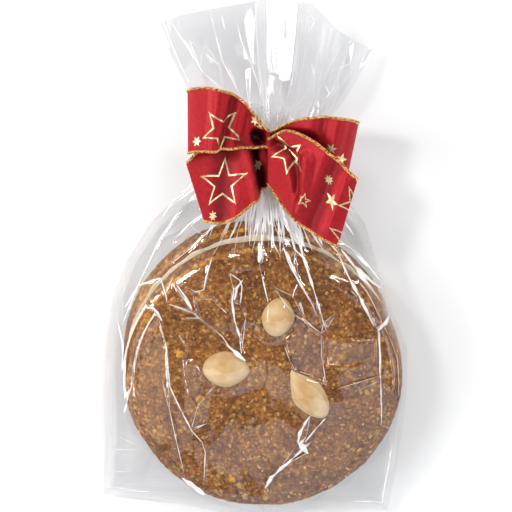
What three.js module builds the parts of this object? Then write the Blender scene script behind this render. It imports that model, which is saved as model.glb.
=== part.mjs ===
// A clear gift bag of two round lebkuchen, tied at its neck with a wired ribbon bow.
// The bag lies on its back: +Z is up and towards the shown side, +Y runs from the bottom
// seam to the open, fanned top, and the origin is under the middle of the bag.
// The clear bag is modelled shut and solid, out to its film: the film lies flat under the
// stack, slopes down from the rim of the upper lebkuchen to the side folds, is gathered
// into a round neck, and fans out above it in folds.
import * as THREE from "three";

// Driving dimensions, in millimetres.
const DISC = { x: 4.3, y: -46.5, radius: 61, shoulder: 4 }; // the upper lebkuchen, on a 122 mm wafer
const STACK = { top: 34, rim: 30.5 }; // film over the two lebkuchen, at the middle and at the rim
const RIM_ROUNDING = 3; // where the film bends over the rim of the stack
const EDGE = { height: 5, risesFrom: -10 }; // side folds: they climb to the neck from here on
const BACK = { slope: 12, risesFrom: 16 }; // strip along the edges where the back leaves the table
const BOTTOM = { y: -117.5, leftRise: 8 }; // the seam climbs towards its left corner
const NECK = { x: 6.4, z: 11, radius: 5.5, low: 49, high: 57, gathersFrom: 36 };
const FAN = { z: 13, opensBy: 0.45, spread: 0.45, halfGap: 0.6, pleat: 0.9 };
const CREASE = { shortest: 18, longest: 85, lowest: 1.4, highest: 3.2, edgeFade: 8 };
const RIBBON_THICKNESS = 0.9;
const BAND = { inner: 6.6, outer: 8.3, valley: 7.6, from: 50, to: 56, ribs: 5, sides: 28 };
const KNOT = { x: 6.3, y: 55, z: 21.9, half: [4.6, 7.4, 2.3] };

// Outline of the bag seen from above, as [y, x], from the bottom corners to the neck.
const LEFT_OUTLINE = [
  [-109.5, -69.3], [-82, -67.7], [-60, -68], [-34, -65.9], [-15, -62.7], [3, -55.5],
  [20, -45], [40, -26], [NECK.low, NECK.x - NECK.radius],
];
const RIGHT_OUTLINE = [
  [-117.5, 62.2], [-97, 65.5], [-77, 67.8], [-53, 69.3], [-36, 68.7], [-26, 64.5], [-17, 59.5],
  [1.4, 55], [20, 48.8], [36, 37], [NECK.low, NECK.x + NECK.radius],
];

// The open top edge of the bag, from left to right, as [share of the width, x, y, z]:
// the peaks and valleys of its folds.
const TOP_EDGE = [
  [-1, -37.5, 109, 7], [-0.78, -29, 111.5, 12], [-0.5, -15, 114, 16], [-0.3, -6, 115.5, 8],
  [-0.16, 1, 117, 20], [-0.05, 5, 117.5, 7], [0.1, 14, 117, 22], [0.28, 24.5, 116, 9],
  [0.42, 30, 111, 19], [0.58, 35, 105, 8], [0.74, 40, 102, 17], [1, 49, 97.5, 10],
];

// Whole blanched almonds pressed into the upper lebkuchen: centre, half length, half width
// and the direction of the length, in degrees from +X.
const ALMONDS = [
  { x: -11.7, y: -38.8, long: 10.4, wide: 8.2, turn: -4 },
  { x: 10.6, y: -15.3, long: 8.6, wide: 6.6, turn: 78 },
  { x: 24.3, y: -49.8, long: 11.6, wide: 6.4, turn: 128 },
];
const ALMOND_RISE = 4.6;

// Ribbon strips. Each station gives a point of the upper edge and one of the lower edge.
const STRIPS = {
  bow_loop_left: [
    [[5.9, 64.5, 28.2], [5.9, 57.4, 27.6]],
    [[-1, 73.5, 32], [-3, 58.2, 32.5]],
    [[-5.5, 79.5, 36.5], [-9.5, 58.4, 36]],
    [[-11.5, 83, 39], [-15.6, 58, 38]],
    [[-19.5, 84, 38.5], [-20.5, 57.5, 38]],
    [[-25, 83, 36.4], [-25.3, 56.8, 36]],
    [[-26.8, 82, 33], [-27, 56.2, 32.8]],
    [[-24, 80.5, 30.6], [-24, 56.3, 30.8]],
    [[-13, 76.5, 29.4], [-13, 57, 30]],
    [[-5, 69.5, 27.6], [-5, 57.8, 28.4]],
    [[5.9, 62, 26.4], [5.9, 59, 26.6]],
  ],
  bow_loop_right: [
    [[6.9, 63.2, 26], [6.9, 57, 25.4]],
    [[13.2, 67.4, 30], [14, 52, 29.5]],
    [[19.3, 70.2, 33.5], [20.5, 47.5, 32.5]],
    [[30.5, 71.6, 36], [29.5, 45.5, 34.5]],
    [[38.5, 70.8, 35.5], [35, 44.6, 34]],
    [[43, 69, 32.8], [38.4, 43.8, 31.5]],
    [[43.6, 68.3, 29], [39, 43.4, 28.5]],
    [[40, 68.5, 25.5], [36, 43.8, 25.4]],
    [[28, 68.5, 22.5], [26, 45.5, 22.6]],
    [[18, 65, 21.2], [18, 50, 21.4]],
    [[11.5, 60, 21.8], [11.5, 54, 21.8]],
  ],
  bow_tail_left: [
    [[5.9, 58.5, 24.8], [5.4, 40, 25]],
    [[0, 60, 24.8], [2, 35.8, 28]],
    [[-7, 60, 25.4], [-3.2, 31.7, 31.5]],
    [[-14, 59, 26.4], [-8.5, 28.4, 34.5]],
    [[-21, 57, 28], [-14.5, 27, 35.8]],
    [[-28, 51.4, 31], [-20.6, 27.8, 36]],
  ],
  bow_tail_right: [
    [[6.7, 61, 28.6], [6.6, 42, 26]],
    [[14, 65.6, 34], [10, 36.5, 29]],
    [[24, 62.6, 38.8], [15.6, 29.5, 32.5]],
    [[33.5, 55.2, 40.8], [23.5, 23.4, 35.5]],
    [[43, 46.5, 41], [35.4, 17.2, 38]],
  ],
};

// Seeded draw of numbers from 0 to 1.
function drawer(seed) {
  let state = seed;
  return () => {
    state = (state * 1664525 + 1013904223) % 4294967296;
    return state / 4294967296;
  };
}

const mix = (a, b, t) => a + (b - a) * t;
const clamp01 = (t) => Math.min(1, Math.max(0, t));
const smooth = (from, to, t) => {
  const s = clamp01((t - from) / (to - from));
  return s * s * (3 - 2 * s);
};
const tent = (t) => Math.max(0, 1 - Math.abs(t));
const softMin = (a, b, radius) => {
  const share = clamp01(0.5 + (b - a) / (2 * radius));
  return mix(b, a, share) - radius * share * (1 - share);
};

// Value of a table of [key, ...values] at a key, on straight lines between its rows.
function along(table, key, column = 1) {
  const last = table.length - 1;
  if (key <= table[0][0]) return table[0][column];
  if (key >= table[last][0]) return table[last][column];
  const i = table.findIndex((row) => row[0] >= key);
  const [a, b] = [table[i - 1], table[i]];
  return mix(a[column], b[column], (key - a[0]) / (b[0] - a[0]));
}

const bottomAt = (u) => BOTTOM.y + BOTTOM.leftRise * ((1 - u) / 2) ** 2.2;

// The bag's outline below the neck, seen from above.
const OUTLINE = (() => {
  const seam = [];
  for (let u = -1; u <= 1; u += 0.125) {
    seam.push([mix(LEFT_OUTLINE[0][1], RIGHT_OUTLINE[0][1], (u + 1) / 2), bottomAt(u)]);
  }
  const [left, right] = [LEFT_OUTLINE, RIGHT_OUTLINE].map((side) => side.map(([y, x]) => [x, y]));
  return [...seam, ...right, ...left.reverse()];
})();

// How far the outline is from the middle of the lebkuchen, in the direction of a point.
function reachTowards(x, y) {
  const [dx, dy] = [x - DISC.x, y - DISC.y];
  const length = Math.hypot(dx, dy) || 1;
  let reach = 0;
  OUTLINE.forEach(([ax, ay], i) => {
    const [bx, by] = OUTLINE[(i + 1) % OUTLINE.length];
    const cross = dx * (by - ay) - dy * (bx - ax);
    const share = (dy * (ax - DISC.x) - dx * (ay - DISC.y)) / cross;
    if (Math.abs(cross) < 1e-9 || share < -1e-6 || share > 1 + 1e-6) return;
    const [hx, hy] = [mix(ax, bx, share) - DISC.x, mix(ay, by, share) - DISC.y];
    reach = Math.max(reach, (hx * dx + hy * dy) / length);
  });
  return reach;
}

// Height that the almonds lift the film by.
function almondRise(x, y) {
  return ALMONDS.reduce((rise, almond) => {
    const turn = THREE.MathUtils.degToRad(almond.turn);
    const [dx, dy] = [x - almond.x, y - almond.y];
    const long = (dx * Math.cos(turn) + dy * Math.sin(turn)) / (almond.long + 2);
    const wide = (dy * Math.cos(turn) - dx * Math.sin(turn)) / (almond.wide + 2);
    return Math.max(rise, ALMOND_RISE * Math.sqrt(Math.max(0, 1 - long * long - wide * wide)));
  }, 0);
}

// Creases that run from the neck over the bag: place across it, length and height.
const COLUMNS = 44;
const CREASES = (() => {
  const draw = drawer(7);
  const creases = [];
  for (let column = 2; column < COLUMNS - 1; column += 2) {
    creases.push({
      u: (2 * column) / COLUMNS - 1,
      length: mix(CREASE.shortest, CREASE.longest, draw() ** 1.5),
      height: mix(CREASE.lowest, CREASE.highest, draw()),
    });
  }
  return creases;
})();

function creaseHeight(u, distance) {
  const width = 2 / COLUMNS;
  return CREASES.reduce((sum, crease) => {
    const fade = clamp01(1 - distance / crease.length) * clamp01(distance / CREASE.edgeFade + 0.3);
    return sum + crease.height * fade * tent((u - crease.u) / width);
  }, 0);
}

// Height of the shown side: a dome over the stack, and a slope from its rim to the edges.
function shownHeight(x, y, side, toEdge, reach) {
  const flat = DISC.radius - DISC.shoulder;
  const fromDisc = Math.hypot(x - DISC.x, y - DISC.y);
  const dome = STACK.top - (STACK.top - STACK.rim) * (fromDisc / flat) ** 4;
  const slope = side + ((STACK.rim - side) * toEdge) / (reach - flat);
  return softMin(Math.max(dome, STACK.rim), slope, RIM_ROUNDING) + almondRise(x, y);
}

// Height of the back: flat on the table, and turned up at the edges and towards the neck.
function backHeight(y, side, toEdge) {
  const inside = clamp01(toEdge / BACK.slope);
  const underNeck = (NECK.z - NECK.radius) * smooth(BACK.risesFrom, NECK.low, y);
  return side * (1 - inside) ** 2 + underNeck * inside;
}

// A point of the film below the neck. face is 1 on the shown side and -1 on the back.
function bodyPoint(face, u, v) {
  const y = mix(bottomAt(u), NECK.low, v);
  const left = along(LEFT_OUTLINE, mix(bottomAt(-1), NECK.low, v));
  const right = along(RIGHT_OUTLINE, mix(bottomAt(1), NECK.low, v));
  const gathered = smooth(NECK.gathersFrom, NECK.low, y);
  const round = Math.sin((u * Math.PI) / 2);
  const across = mix(u, round, mix(0.35, 1, gathered)); // columns lie closer near the side folds
  const x = (left + right) / 2 + (across * (right - left)) / 2;

  const side = mix(EDGE.height, NECK.z, smooth(EDGE.risesFrom, NECK.low, y));
  const ring = NECK.radius * Math.sqrt(Math.max(0, 1 - round * round));
  const onEdge = Math.abs(u) === 1 || v === 0;
  if (onEdge) return [x, y, mix(side, NECK.z + face * ring, gathered)];

  const reach = reachTowards(x, y);
  const toEdge = Math.max(0.02, reach - Math.hypot(x - DISC.x, y - DISC.y));
  if (face < 0) return [x, y, mix(backHeight(y, side, toEdge), NECK.z - ring, gathered)];
  const crease = creaseHeight(u, NECK.low - y) * clamp01(toEdge / CREASE.edgeFade);
  return [x, y, mix(shownHeight(x, y, side, toEdge, reach), NECK.z + ring, gathered) + crease];
}

// A point of the film above the neck, at a share t of the way to the open top edge.
function fanPoint(face, u, t) {
  const round = (u * Math.PI) / 2;
  const opened = smooth(0, FAN.opensBy, t);
  const atSide = Math.abs(u) === 1;
  const gap = atSide ? FAN.halfGap / 2 : FAN.halfGap * (1 + t * (0.8 + 0.8 * Math.cos(9 * u)));
  const sheet = mix(FAN.z, along(TOP_EDGE, u, 3), t ** 0.8) + face * gap;
  const ring = NECK.z + face * NECK.radius * Math.cos(round);
  const pleat = FAN.pleat * Math.cos((COLUMNS / 4) * Math.PI * (u + 1)) * Math.cos(round);
  return [
    mix(NECK.x + NECK.radius * Math.sin(round), along(TOP_EDGE, u, 1), t ** FAN.spread),
    mix(NECK.high, along(TOP_EDGE, u, 2), t),
    mix(ring + face * pleat, sheet, opened),
  ];
}

// A geometry from triangles given as points, without those that have no area.
function geometryFrom(triangles) {
  const same = (a, b) => Math.hypot(a[0] - b[0], a[1] - b[1], a[2] - b[2]) < 2e-3;
  const kept = triangles.filter(([a, b, c]) => !same(a, b) && !same(b, c) && !same(a, c));
  const positions = new THREE.Float32BufferAttribute(kept.flat(2), 3);
  return new THREE.BufferGeometry().setAttribute("position", positions);
}

const quad = (a, b, c, d) => [[a, b, c], [a, c, d]];

// The whole bag: rows of points from the bottom seam to the top edge, on both faces.
function bagGeometry() {
  const bodyRows = 34;
  const fanRows = 12;
  const rows = [];
  for (let i = 0; i <= bodyRows; i += 1) rows.push([bodyPoint, (i / bodyRows) ** 0.9]);
  for (let i = 0; i <= fanRows; i += 1) rows.push([fanPoint, (i / fanRows) ** 1.3]);
  const grid = (face) =>
    rows.map(([point, v]) =>
      Array.from({ length: COLUMNS + 1 }, (_, column) => point(face, (2 * column) / COLUMNS - 1, v)),
    );
  const [front, back] = [grid(1), grid(-1)];
  const top = rows.length - 1;
  const triangles = [];
  for (let row = 0; row < top; row += 1) {
    for (let i = 0; i < COLUMNS; i += 1) {
      triangles.push(
        ...quad(front[row][i], front[row][i + 1], front[row + 1][i + 1], front[row + 1][i]),
        ...quad(back[row][i + 1], back[row][i], back[row + 1][i], back[row + 1][i + 1]),
      );
    }
    const last = COLUMNS;
    triangles.push(
      ...quad(back[row][0], front[row][0], front[row + 1][0], back[row + 1][0]),
      ...quad(back[row + 1][last], front[row + 1][last], front[row][last], back[row][last]),
    );
  }
  for (let i = 0; i < COLUMNS; i += 1) {
    triangles.push(...quad(front[top][i], front[top][i + 1], back[top][i + 1], back[top][i]));
  }
  return geometryFrom(triangles);
}

// A ribbon strip with thickness, ruled between two edge curves through its stations.
function stripGeometry(stations) {
  const steps = stations.length * 3;
  const across = 4;
  const [upper, lower] = [0, 1].map((side) => {
    const points = stations.map((station) => new THREE.Vector3(...station[side]));
    return new THREE.CatmullRomCurve3(points, false, "centripetal");
  });
  const middle = (t) => upper.getPoint(clamp01(t)).add(lower.getPoint(clamp01(t))).multiplyScalar(0.5);
  const row = (t, offset) => {
    const tangent = middle(t + 0.01).sub(middle(t - 0.01));
    const [top, bottom] = [upper.getPoint(t), lower.getPoint(t)];
    const normal = new THREE.Vector3().crossVectors(tangent, top.clone().sub(bottom)).normalize();
    return Array.from({ length: across + 1 }, (_, j) =>
      bottom.clone().lerp(top, j / across).addScaledVector(normal, offset).toArray(),
    );
  };
  const rows = (offset) => Array.from({ length: steps + 1 }, (_, i) => row(i / steps, offset));
  const [under, over] = [rows(-RIBBON_THICKNESS / 2), rows(RIBBON_THICKNESS / 2)];
  const triangles = [];
  for (let i = 0; i < steps; i += 1) {
    for (let j = 0; j < across; j += 1) {
      triangles.push(
        ...quad(over[i][j], over[i + 1][j], over[i + 1][j + 1], over[i][j + 1]),
        ...quad(under[i][j], under[i][j + 1], under[i + 1][j + 1], under[i + 1][j]),
      );
    }
    triangles.push(
      ...quad(under[i][0], under[i + 1][0], over[i + 1][0], over[i][0]),
      ...quad(over[i][across], over[i + 1][across], under[i + 1][across], under[i][across]),
    );
  }
  for (let j = 0; j < across; j += 1) {
    triangles.push(
      ...quad(under[0][j], over[0][j], over[0][j + 1], under[0][j + 1]),
      ...quad(over[steps][j], under[steps][j], under[steps][j + 1], over[steps][j + 1]),
    );
  }
  return geometryFrom(triangles);
}

// The gathered ribbon that goes round the neck, with its pleats as small ribs.
function bandGeometry() {
  const turns = 2 * BAND.ribs;
  const profile = [new THREE.Vector2(BAND.inner, BAND.from)];
  for (let i = 0; i <= turns; i += 1) {
    const radius = i % 2 ? BAND.outer : BAND.valley;
    profile.push(new THREE.Vector2(radius, mix(BAND.from, BAND.to, i / turns)));
  }
  profile.push(new THREE.Vector2(BAND.inner, BAND.to), new THREE.Vector2(BAND.inner, BAND.from));
  return new THREE.LatheGeometry(profile, BAND.sides).translate(NECK.x, 0, NECK.z);
}

// The small knot on the band, under the bow.
function knotGeometry() {
  return new THREE.SphereGeometry(1, 20, 12).scale(...KNOT.half).translate(KNOT.x, KNOT.y, KNOT.z);
}

const film = new THREE.MeshStandardMaterial({
  color: 0xe6e7ea,
  roughness: 0.1,
  metalness: 0,
  transparent: true,
  opacity: 0.35,
});
const ribbon = new THREE.MeshStandardMaterial({ color: 0xb0202b, roughness: 0.55, metalness: 0 });

const lebkuchenBag = new THREE.Group();

function add(name, geometry, material) {
  const mesh = new THREE.Mesh(geometry, material);
  mesh.name = name;
  mesh.geometry.computeVertexNormals();
  lebkuchenBag.add(mesh);
}

add("bag", bagGeometry(), film);
add("ribbon_band", bandGeometry(), ribbon);
add("bow_knot", knotGeometry(), ribbon);
for (const [name, stations] of Object.entries(STRIPS)) add(name, stripGeometry(stations), ribbon);

export default lebkuchenBag;
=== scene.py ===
"""A clear gift bag of two round lebkuchen, tied at its neck with a starred wired ribbon.

The bag lies on its back: +Z is up and +Y runs from the bottom seam to the open top.
The shapes are worked out in millimetres and turned into metres as each mesh is made.
"""
import math
import random

import bmesh
import bpy
import numpy as np
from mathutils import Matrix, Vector, noise
from mathutils.bvhtree import BVHTree
from mathutils.geometry import delaunay_2d_cdt


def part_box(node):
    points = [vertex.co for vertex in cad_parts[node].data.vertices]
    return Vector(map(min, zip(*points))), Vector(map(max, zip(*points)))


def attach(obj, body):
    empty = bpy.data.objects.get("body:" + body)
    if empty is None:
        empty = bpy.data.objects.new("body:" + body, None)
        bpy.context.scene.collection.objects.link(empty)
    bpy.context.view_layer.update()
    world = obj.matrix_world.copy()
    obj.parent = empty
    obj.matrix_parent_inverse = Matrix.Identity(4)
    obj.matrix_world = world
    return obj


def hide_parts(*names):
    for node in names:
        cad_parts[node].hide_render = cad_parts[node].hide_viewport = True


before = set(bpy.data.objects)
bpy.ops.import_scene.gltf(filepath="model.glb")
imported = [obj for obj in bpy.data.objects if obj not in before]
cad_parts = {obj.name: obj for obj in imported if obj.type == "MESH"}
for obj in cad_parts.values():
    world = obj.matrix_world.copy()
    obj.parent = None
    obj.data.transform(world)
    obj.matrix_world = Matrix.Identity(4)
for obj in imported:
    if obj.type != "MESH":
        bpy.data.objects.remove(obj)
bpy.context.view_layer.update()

MM = 0.001

# ---------------------------------------------------------------- the bag's form, in mm
DISC_X, DISC_Y, DISC_RADIUS, DISC_SHOULDER = 4.3, -46.5, 61.0, 4.0
STACK_TOP, STACK_RIM, RIM_ROUNDING = 34.0, 30.5, 3.0
EDGE_HEIGHT, EDGE_RISES_FROM = 5.0, -10.0
BACK_SLOPE, BACK_RISES_FROM, BACK_LIFT = 5.5, 16.0, 0.15
SEAM_Y, SEAM_LEFT_RISE, SEAM_BEND = -117.5, 8.0, 2.2
EDGE_CROWDING = 0.35  # 0 for film columns an equal width apart, 1 for columns as round the neck
FULL_SIDE_AT, FULL_SIDE = 64.0, 2.1  # how full the side is where the outline is near the middle
STRAIGHT_SIDE_AT, STRAIGHT_SIDE = 84.0, 1.05  # and how straight it runs down to a far corner
NECK_X, NECK_Z, NECK_RADIUS = 6.4, 11.0, 5.5
NECK_LOW, NECK_HIGH, GATHERS_FROM = 49.0, 57.0, 36.0
LEFT_OUTLINE = [  # (y, x) from the bottom corner to the neck
    (-109.5, -69.3), (-82, -67.7), (-60, -68), (-34, -65.9), (-15, -62.7), (3, -55.5),
    (20, -45), (40, -26), (NECK_LOW, NECK_X - NECK_RADIUS),
]
RIGHT_OUTLINE = [
    (-117.5, 62.2), (-97, 65.5), (-77, 67.8), (-53, 69.3), (-36, 68.7), (-26, 64.5),
    (-17, 59.5), (1.4, 55), (20, 48.8), (36, 37), (NECK_LOW, NECK_X + NECK_RADIUS),
]
TOP_EDGE = [  # (share of the width, x, y, z) along the open top, from left to right
    (-1, -40, 107.5, 11), (-0.78, -30, 111, 12.5), (-0.5, -15, 114, 13.5), (-0.3, -6, 115.5, 13),
    (-0.16, 1, 117, 14.5), (-0.05, 5, 117.5, 8), (0.19, 19.3, 116.8, 15.5), (0.28, 24.5, 116, 9),
    (0.42, 30, 111, 19), (0.58, 35, 105, 8), (0.74, 41, 101.5, 17), (1, 50.5, 96.5, 10),
]
FAN_Z, FAN_OPENS_BY, FAN_SPREAD = 13.0, 0.45, 0.45

# Contents, in mm: centre x and y, radius, height of the underside and thickness; each seed sets a
# round's own unevenness.
FRONT_DOUGH = {"x": 4.3, "y": -46.5, "radius": 61.9, "base": 18.7, "thick": 13.9, "seed": 3}
FRONT_WAFER = {"x": 3.5, "y": -43.0, "radius": 60.4, "base": 17.4, "thick": 1.2, "seed": 5}
REAR_DOUGH = {"x": 2.4, "y": -40.4, "radius": 61.0, "base": 1.8, "thick": 15.0, "seed": 8}
REAR_WAFER = {"x": 2.2, "y": -40.8, "radius": 60.6, "base": 0.5, "thick": 1.2, "seed": 9}
ALMONDS = [  # centre, half length and width, direction of the tip, pointedness, ridges and the tent's size
    {"name": "almond_left", "x": -11.7, "y": -38.8, "long": 10.2, "wide": 8.0, "turn": -4, "tip": 0.25,
     "ridges": 0.018, "tent": 1.9},
    {"name": "almond_top", "x": 10.6, "y": -15.3, "long": 8.8, "wide": 6.9, "turn": 78, "tip": 0.2,
     "ridges": 0.018, "tent": 2.3},
    {"name": "almond_right", "x": 23.8, "y": -50.2, "long": 13.0, "wide": 6.7, "turn": 126, "tip": 0.66,
     "ridges": 0.045, "tent": 2.1},
]
ALMOND_HALF_HEIGHT, ALMOND_RISE = 4.6, 4.3  # half an almond's height, and how far it stands out of the dough
TENT_RISE = 4.2  # the height of the film's tent over an almond; its "tent" is as wide, in almond sizes
SNUG_TENT = 1.4  # a tent's size on the side away from the neck, where the film is pulled tight
HINGE_AT, HINGE_SIDE = 16.0, (0.41, -0.91)  # the film bends here, from the middle to the lower right
HINGE_NEAR, HINGE_FAR = 0.018, 0.030  # its slopes on both sides of the bend


def mix(a, b, t):
    return a + (b - a) * t


def clamp01(t):
    return np.clip(t, 0.0, 1.0)


def smooth(low, high, t):
    s = clamp01((t - low) / (high - low))
    return s * s * (3 - 2 * s)


def along(table, key, column=1):
    rows = np.array([[row[0], row[column]] for row in table], float)
    return np.interp(key, rows[:, 0], rows[:, 1])


def seam_y(u):
    return SEAM_Y + SEAM_LEFT_RISE * ((1 - u) / 2) ** SEAM_BEND


def outline():
    """The bag's outline below the neck, seen from above, as points."""
    left_x, right_x = LEFT_OUTLINE[0][1], RIGHT_OUTLINE[0][1]
    seam = [(mix(left_x, right_x, (u + 1) / 2), seam_y(u)) for u in np.linspace(-1, 1, 17)]
    right = [(x, y) for y, x in RIGHT_OUTLINE]
    left = [(x, y) for y, x in reversed(LEFT_OUTLINE)]
    return seam + right + left


def reach_towards(x, y):
    """How far the outline is from the middle of the lebkuchen, in the direction of a point."""
    dx, dy = x - DISC_X, y - DISC_Y
    length = np.maximum(np.hypot(dx, dy), 1e-6)
    corners = outline()
    reach = np.zeros_like(x)
    for (ax, ay), (bx, by) in zip(corners, corners[1:] + corners[:1]):
        cross = dx * (by - ay) - dy * (bx - ax)
        cross = np.where(np.abs(cross) < 1e-9, np.nan, cross)
        share = (dy * (ax - DISC_X) - dx * (ay - DISC_Y)) / cross
        hit = (share > -1e-6) & (share < 1 + 1e-6)
        far = ((mix(ax, bx, share) - DISC_X) * dx + (mix(ay, by, share) - DISC_Y) * dy) / length
        reach = np.where(hit & (far > reach), far, reach)
    return reach


def soft_min(a, b, radius):
    share = clamp01(0.5 + (b - a) / (2 * radius))
    return mix(b, a, share) - radius * share * (1 - share)


def almond_rise(x, y):
    """The film is stretched over the almonds like tents, wider than they are towards the neck."""
    rise = np.zeros_like(x)
    for almond in ALMONDS:
        turn = math.radians(almond["turn"])
        dx, dy = x - almond["x"], y - almond["y"]
        long = (dx * math.cos(turn) + dy * math.sin(turn)) / (almond["long"] + 1.0)
        wide = (dy * math.cos(turn) - dx * math.sin(turn)) / (almond["wide"] + 1.0)
        away_from_neck = -dy / np.maximum(np.hypot(dx, dy), 1e-6)
        size = mix(almond["tent"], SNUG_TENT, smooth(0.1, 0.8, away_from_neck))
        out = clamp01(np.hypot(long, wide) / size)
        rise = np.maximum(rise, TENT_RISE * (0.5 + 0.5 * np.cos(out * math.pi)))
    return rise


def hinge(x, y):
    """The film lies a little lower on both sides of a bend that crosses the lebkuchen."""
    past = (x - DISC_X) * HINGE_SIDE[0] + (y - DISC_Y) * HINGE_SIDE[1] - HINGE_AT
    return np.where(past > 0, -HINGE_FAR * past, HINGE_NEAR * past)


def shown_height(x, y, side, reach, from_disc, to_edge):
    """The film over the stack: a low dome that rounds over at its rim into the bag's sides."""
    flat = DISC_RADIUS - DISC_SHOULDER
    dome = STACK_TOP - (STACK_TOP - STACK_RIM) * (from_disc / flat) ** 4 + hinge(x, y)
    outward = 1 - clamp01(to_edge / (reach - flat))
    bulge = mix(FULL_SIDE, STRAIGHT_SIDE, smooth(FULL_SIDE_AT, STRAIGHT_SIDE_AT, reach))
    within = np.maximum(to_edge / (reach - flat) - 1, 0.0)
    slope = side + (STACK_RIM - side) * ((1 - outward ** bulge) ** (1 / bulge) + within)
    z = soft_min(np.maximum(dome, STACK_RIM), slope, RIM_ROUNDING) + almond_rise(x, y)
    return np.where(to_edge == 0, side, z)


def back_height(y, side, to_edge):
    """The film under the stack: flat, but lifted at the bag's edges and towards the neck."""
    inside = clamp01(to_edge / BACK_SLOPE)
    under_neck = (NECK_Z - NECK_RADIUS) * smooth(BACK_RISES_FROM, NECK_LOW, y)
    return side * (1 - inside) ** 2 + under_neck * inside


def body_point(face, u, v):
    """x, y, z of the film below the neck and how far it is from the edge of the bag.

    face is 1 on the shown side and -1 on the back; u runs from left to right and v from
    the bottom seam to the neck.
    """
    y = mix(seam_y(u), NECK_LOW, v)
    left = along(LEFT_OUTLINE, mix(seam_y(-1.0), NECK_LOW, v))
    right = along(RIGHT_OUTLINE, mix(seam_y(1.0), NECK_LOW, v))
    gathered = smooth(GATHERS_FROM, NECK_LOW, y)
    rounded = np.sin(u * math.pi / 2)
    x = (left + right) / 2 + mix(u, rounded, mix(EDGE_CROWDING, 1.0, gathered)) * (right - left) / 2
    side = mix(EDGE_HEIGHT, NECK_Z, smooth(EDGE_RISES_FROM, NECK_LOW, y))
    reach = reach_towards(x, y)
    from_disc = np.hypot(x - DISC_X, y - DISC_Y)
    to_edge = np.where((np.abs(u) > 0.9999) | (v < 1e-4), 0.0, np.maximum(reach - from_disc, 0.02))
    if face > 0:
        z = shown_height(x, y, side, reach, from_disc, to_edge)
    else:
        z = back_height(y, side, to_edge)
    ring = NECK_Z + face * NECK_RADIUS * np.sqrt(clamp01(1 - rounded ** 2))
    return x, y, mix(z, ring, gathered), to_edge


# --------------------------------------------------------------------- creases in the film
FOLDS_MEET_X, FOLDS_MEET_Y = 6.4, 64.0  # the folds point to here, above the neck
FOLD_ARC, FOLD_RUN = 75.0, 0.36  # how fold space stretches angles and distances
FOLD_SHARE = 0.6  # how much of a crease's height is a fold of the film; the rest is its sharp ridge

# Main creases of the shown side: how high the fold stands, and its corners, in mm.
CREASES = [
    (1.5, [(-32, 27), (-40, 15.5), (-50, -4.5), (-57, -21.8)]),
    (1.2, [(-50, -4.5), (-39.8, 0.2)]),
    (0.9, [(-39.8, 0.2), (-37.6, -5.3), (-36.9, -9)]),
    (0.8, [(-34.2, 1.4), (-37, -5)]),
    (1.0, [(-33.7, -1.6), (-26, -12.5)]),
    (0.5, [(-36.3, -9.9), (-26.2, -13.4)]),
    (0.9, [(-30.6, -1.2), (-24.4, -4.4), (-21, -3.3), (-20.1, 1.9), (-17.6, 10), (-12, 20), (-6, 33)]),
    (0.7, [(-10, 3.8), (-5.7, 0.9), (-4.8, -1.7), (-5.1, -6.1), (-5.7, -9.6)]),
    (1.7, [(-5.7, -0.4), (-8.3, -3.1), (-9, -8.3), (-7.9, -16.4), (-5.7, -23.6), (-5.1, -31)]),
    (0.6, [(-29.3, -15.8), (-22.7, -15.7), (-17.6, -19.6), (-13.2, -23.7), (-9, -29.6)]),
    (0.5, [(-32, -23.1), (-29, -28)]),
    (1.1, [(-45, -10.7), (-41.3, -12.9), (-39.6, -19.7), (-37.5, -28), (-36, -46.6), (-30, -60)]),
    (0.7, [(-31, -58.2), (-26.8, -66.8), (-22.4, -72), (-21, -77), (-21.8, -91.6)]),
    (0.6, [(-37.5, -28), (-36.2, -58.3), (-34, -69.9), (-31.5, -82.2), (-29.9, -92)]),
    (0.8, [(-51.4, -41.9), (-55.2, -55)]),
    (0.5, [(-61.8, -75.2), (-51.3, -76.7)]),
    (0.5, [(-66.6, -96.5), (-54.3, -92)]),
    (0.4, [(-65.9, -85.6), (-50, -79)]),
    (1.6, [(-6, 34), (-17.2, 22.2), (-27.2, 12.6), (-34.3, 6.8)]),
    (1.3, [(-12, 34), (-27.8, 22.1), (-34.5, 14.5)]),
    (1.2, [(4.6, 36), (3.4, 23.6), (3.8, 8.9), (2.6, 7.7), (4.3, 0.5), (6.5, -8.3)]),
    (1.3, [(7, 34), (8.7, 16.1), (11.7, 10.6)]),
    (1.4, [(9, 34), (12.6, 16), (14.7, 9.2), (19.5, 0.4), (24.7, -8.4), (27.2, -14.3)]),
    (1.5, [(12, 33), (17.8, 13.5), (21.6, 10.3), (23.8, 3.3), (26.9, -6.7), (30.1, -17.4), (31.2, -20.6)]),
    (0.6, [(17.4, -12.8), (23, -17.3), (29.2, -22.4)]),
    (1.3, [(20, 32), (36.4, 10.9), (39.8, 3.5), (46.7, -8.5), (53.5, -21.4)]),
    (1.0, [(53.5, -20), (58.5, -18.1)]),
    (1.2, [(24, 30), (36.5, 15.9), (45.5, 9.6), (55, -2)]),
    (0.5, [(53.9, -21), (55.2, -44), (56.1, -65.2)]),
    (0.4, [(56.1, -65.2), (65, -70)]),
    (1.9, [(24.8, -58.5), (20.4, -67.1), (19.5, -71.9), (24.1, -76.8)]),
    (1.5, [(31.5, -60), (22.6, -71.9)]),
    (1.5, [(24.1, -76.8), (12, -83.9), (4.9, -94.2)]),
    (0.5, [(29.2, -22.4), (29.3, -31.9), (31.7, -45.9)]),
    (0.5, [(13.5, -28), (17.5, -39.1)]),
    (0.4, [(36.1, -47.3), (54.7, -41.9)]),
    (0.8, [(-17, -46), (-24, -55), (-27, -66)]),
]
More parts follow.
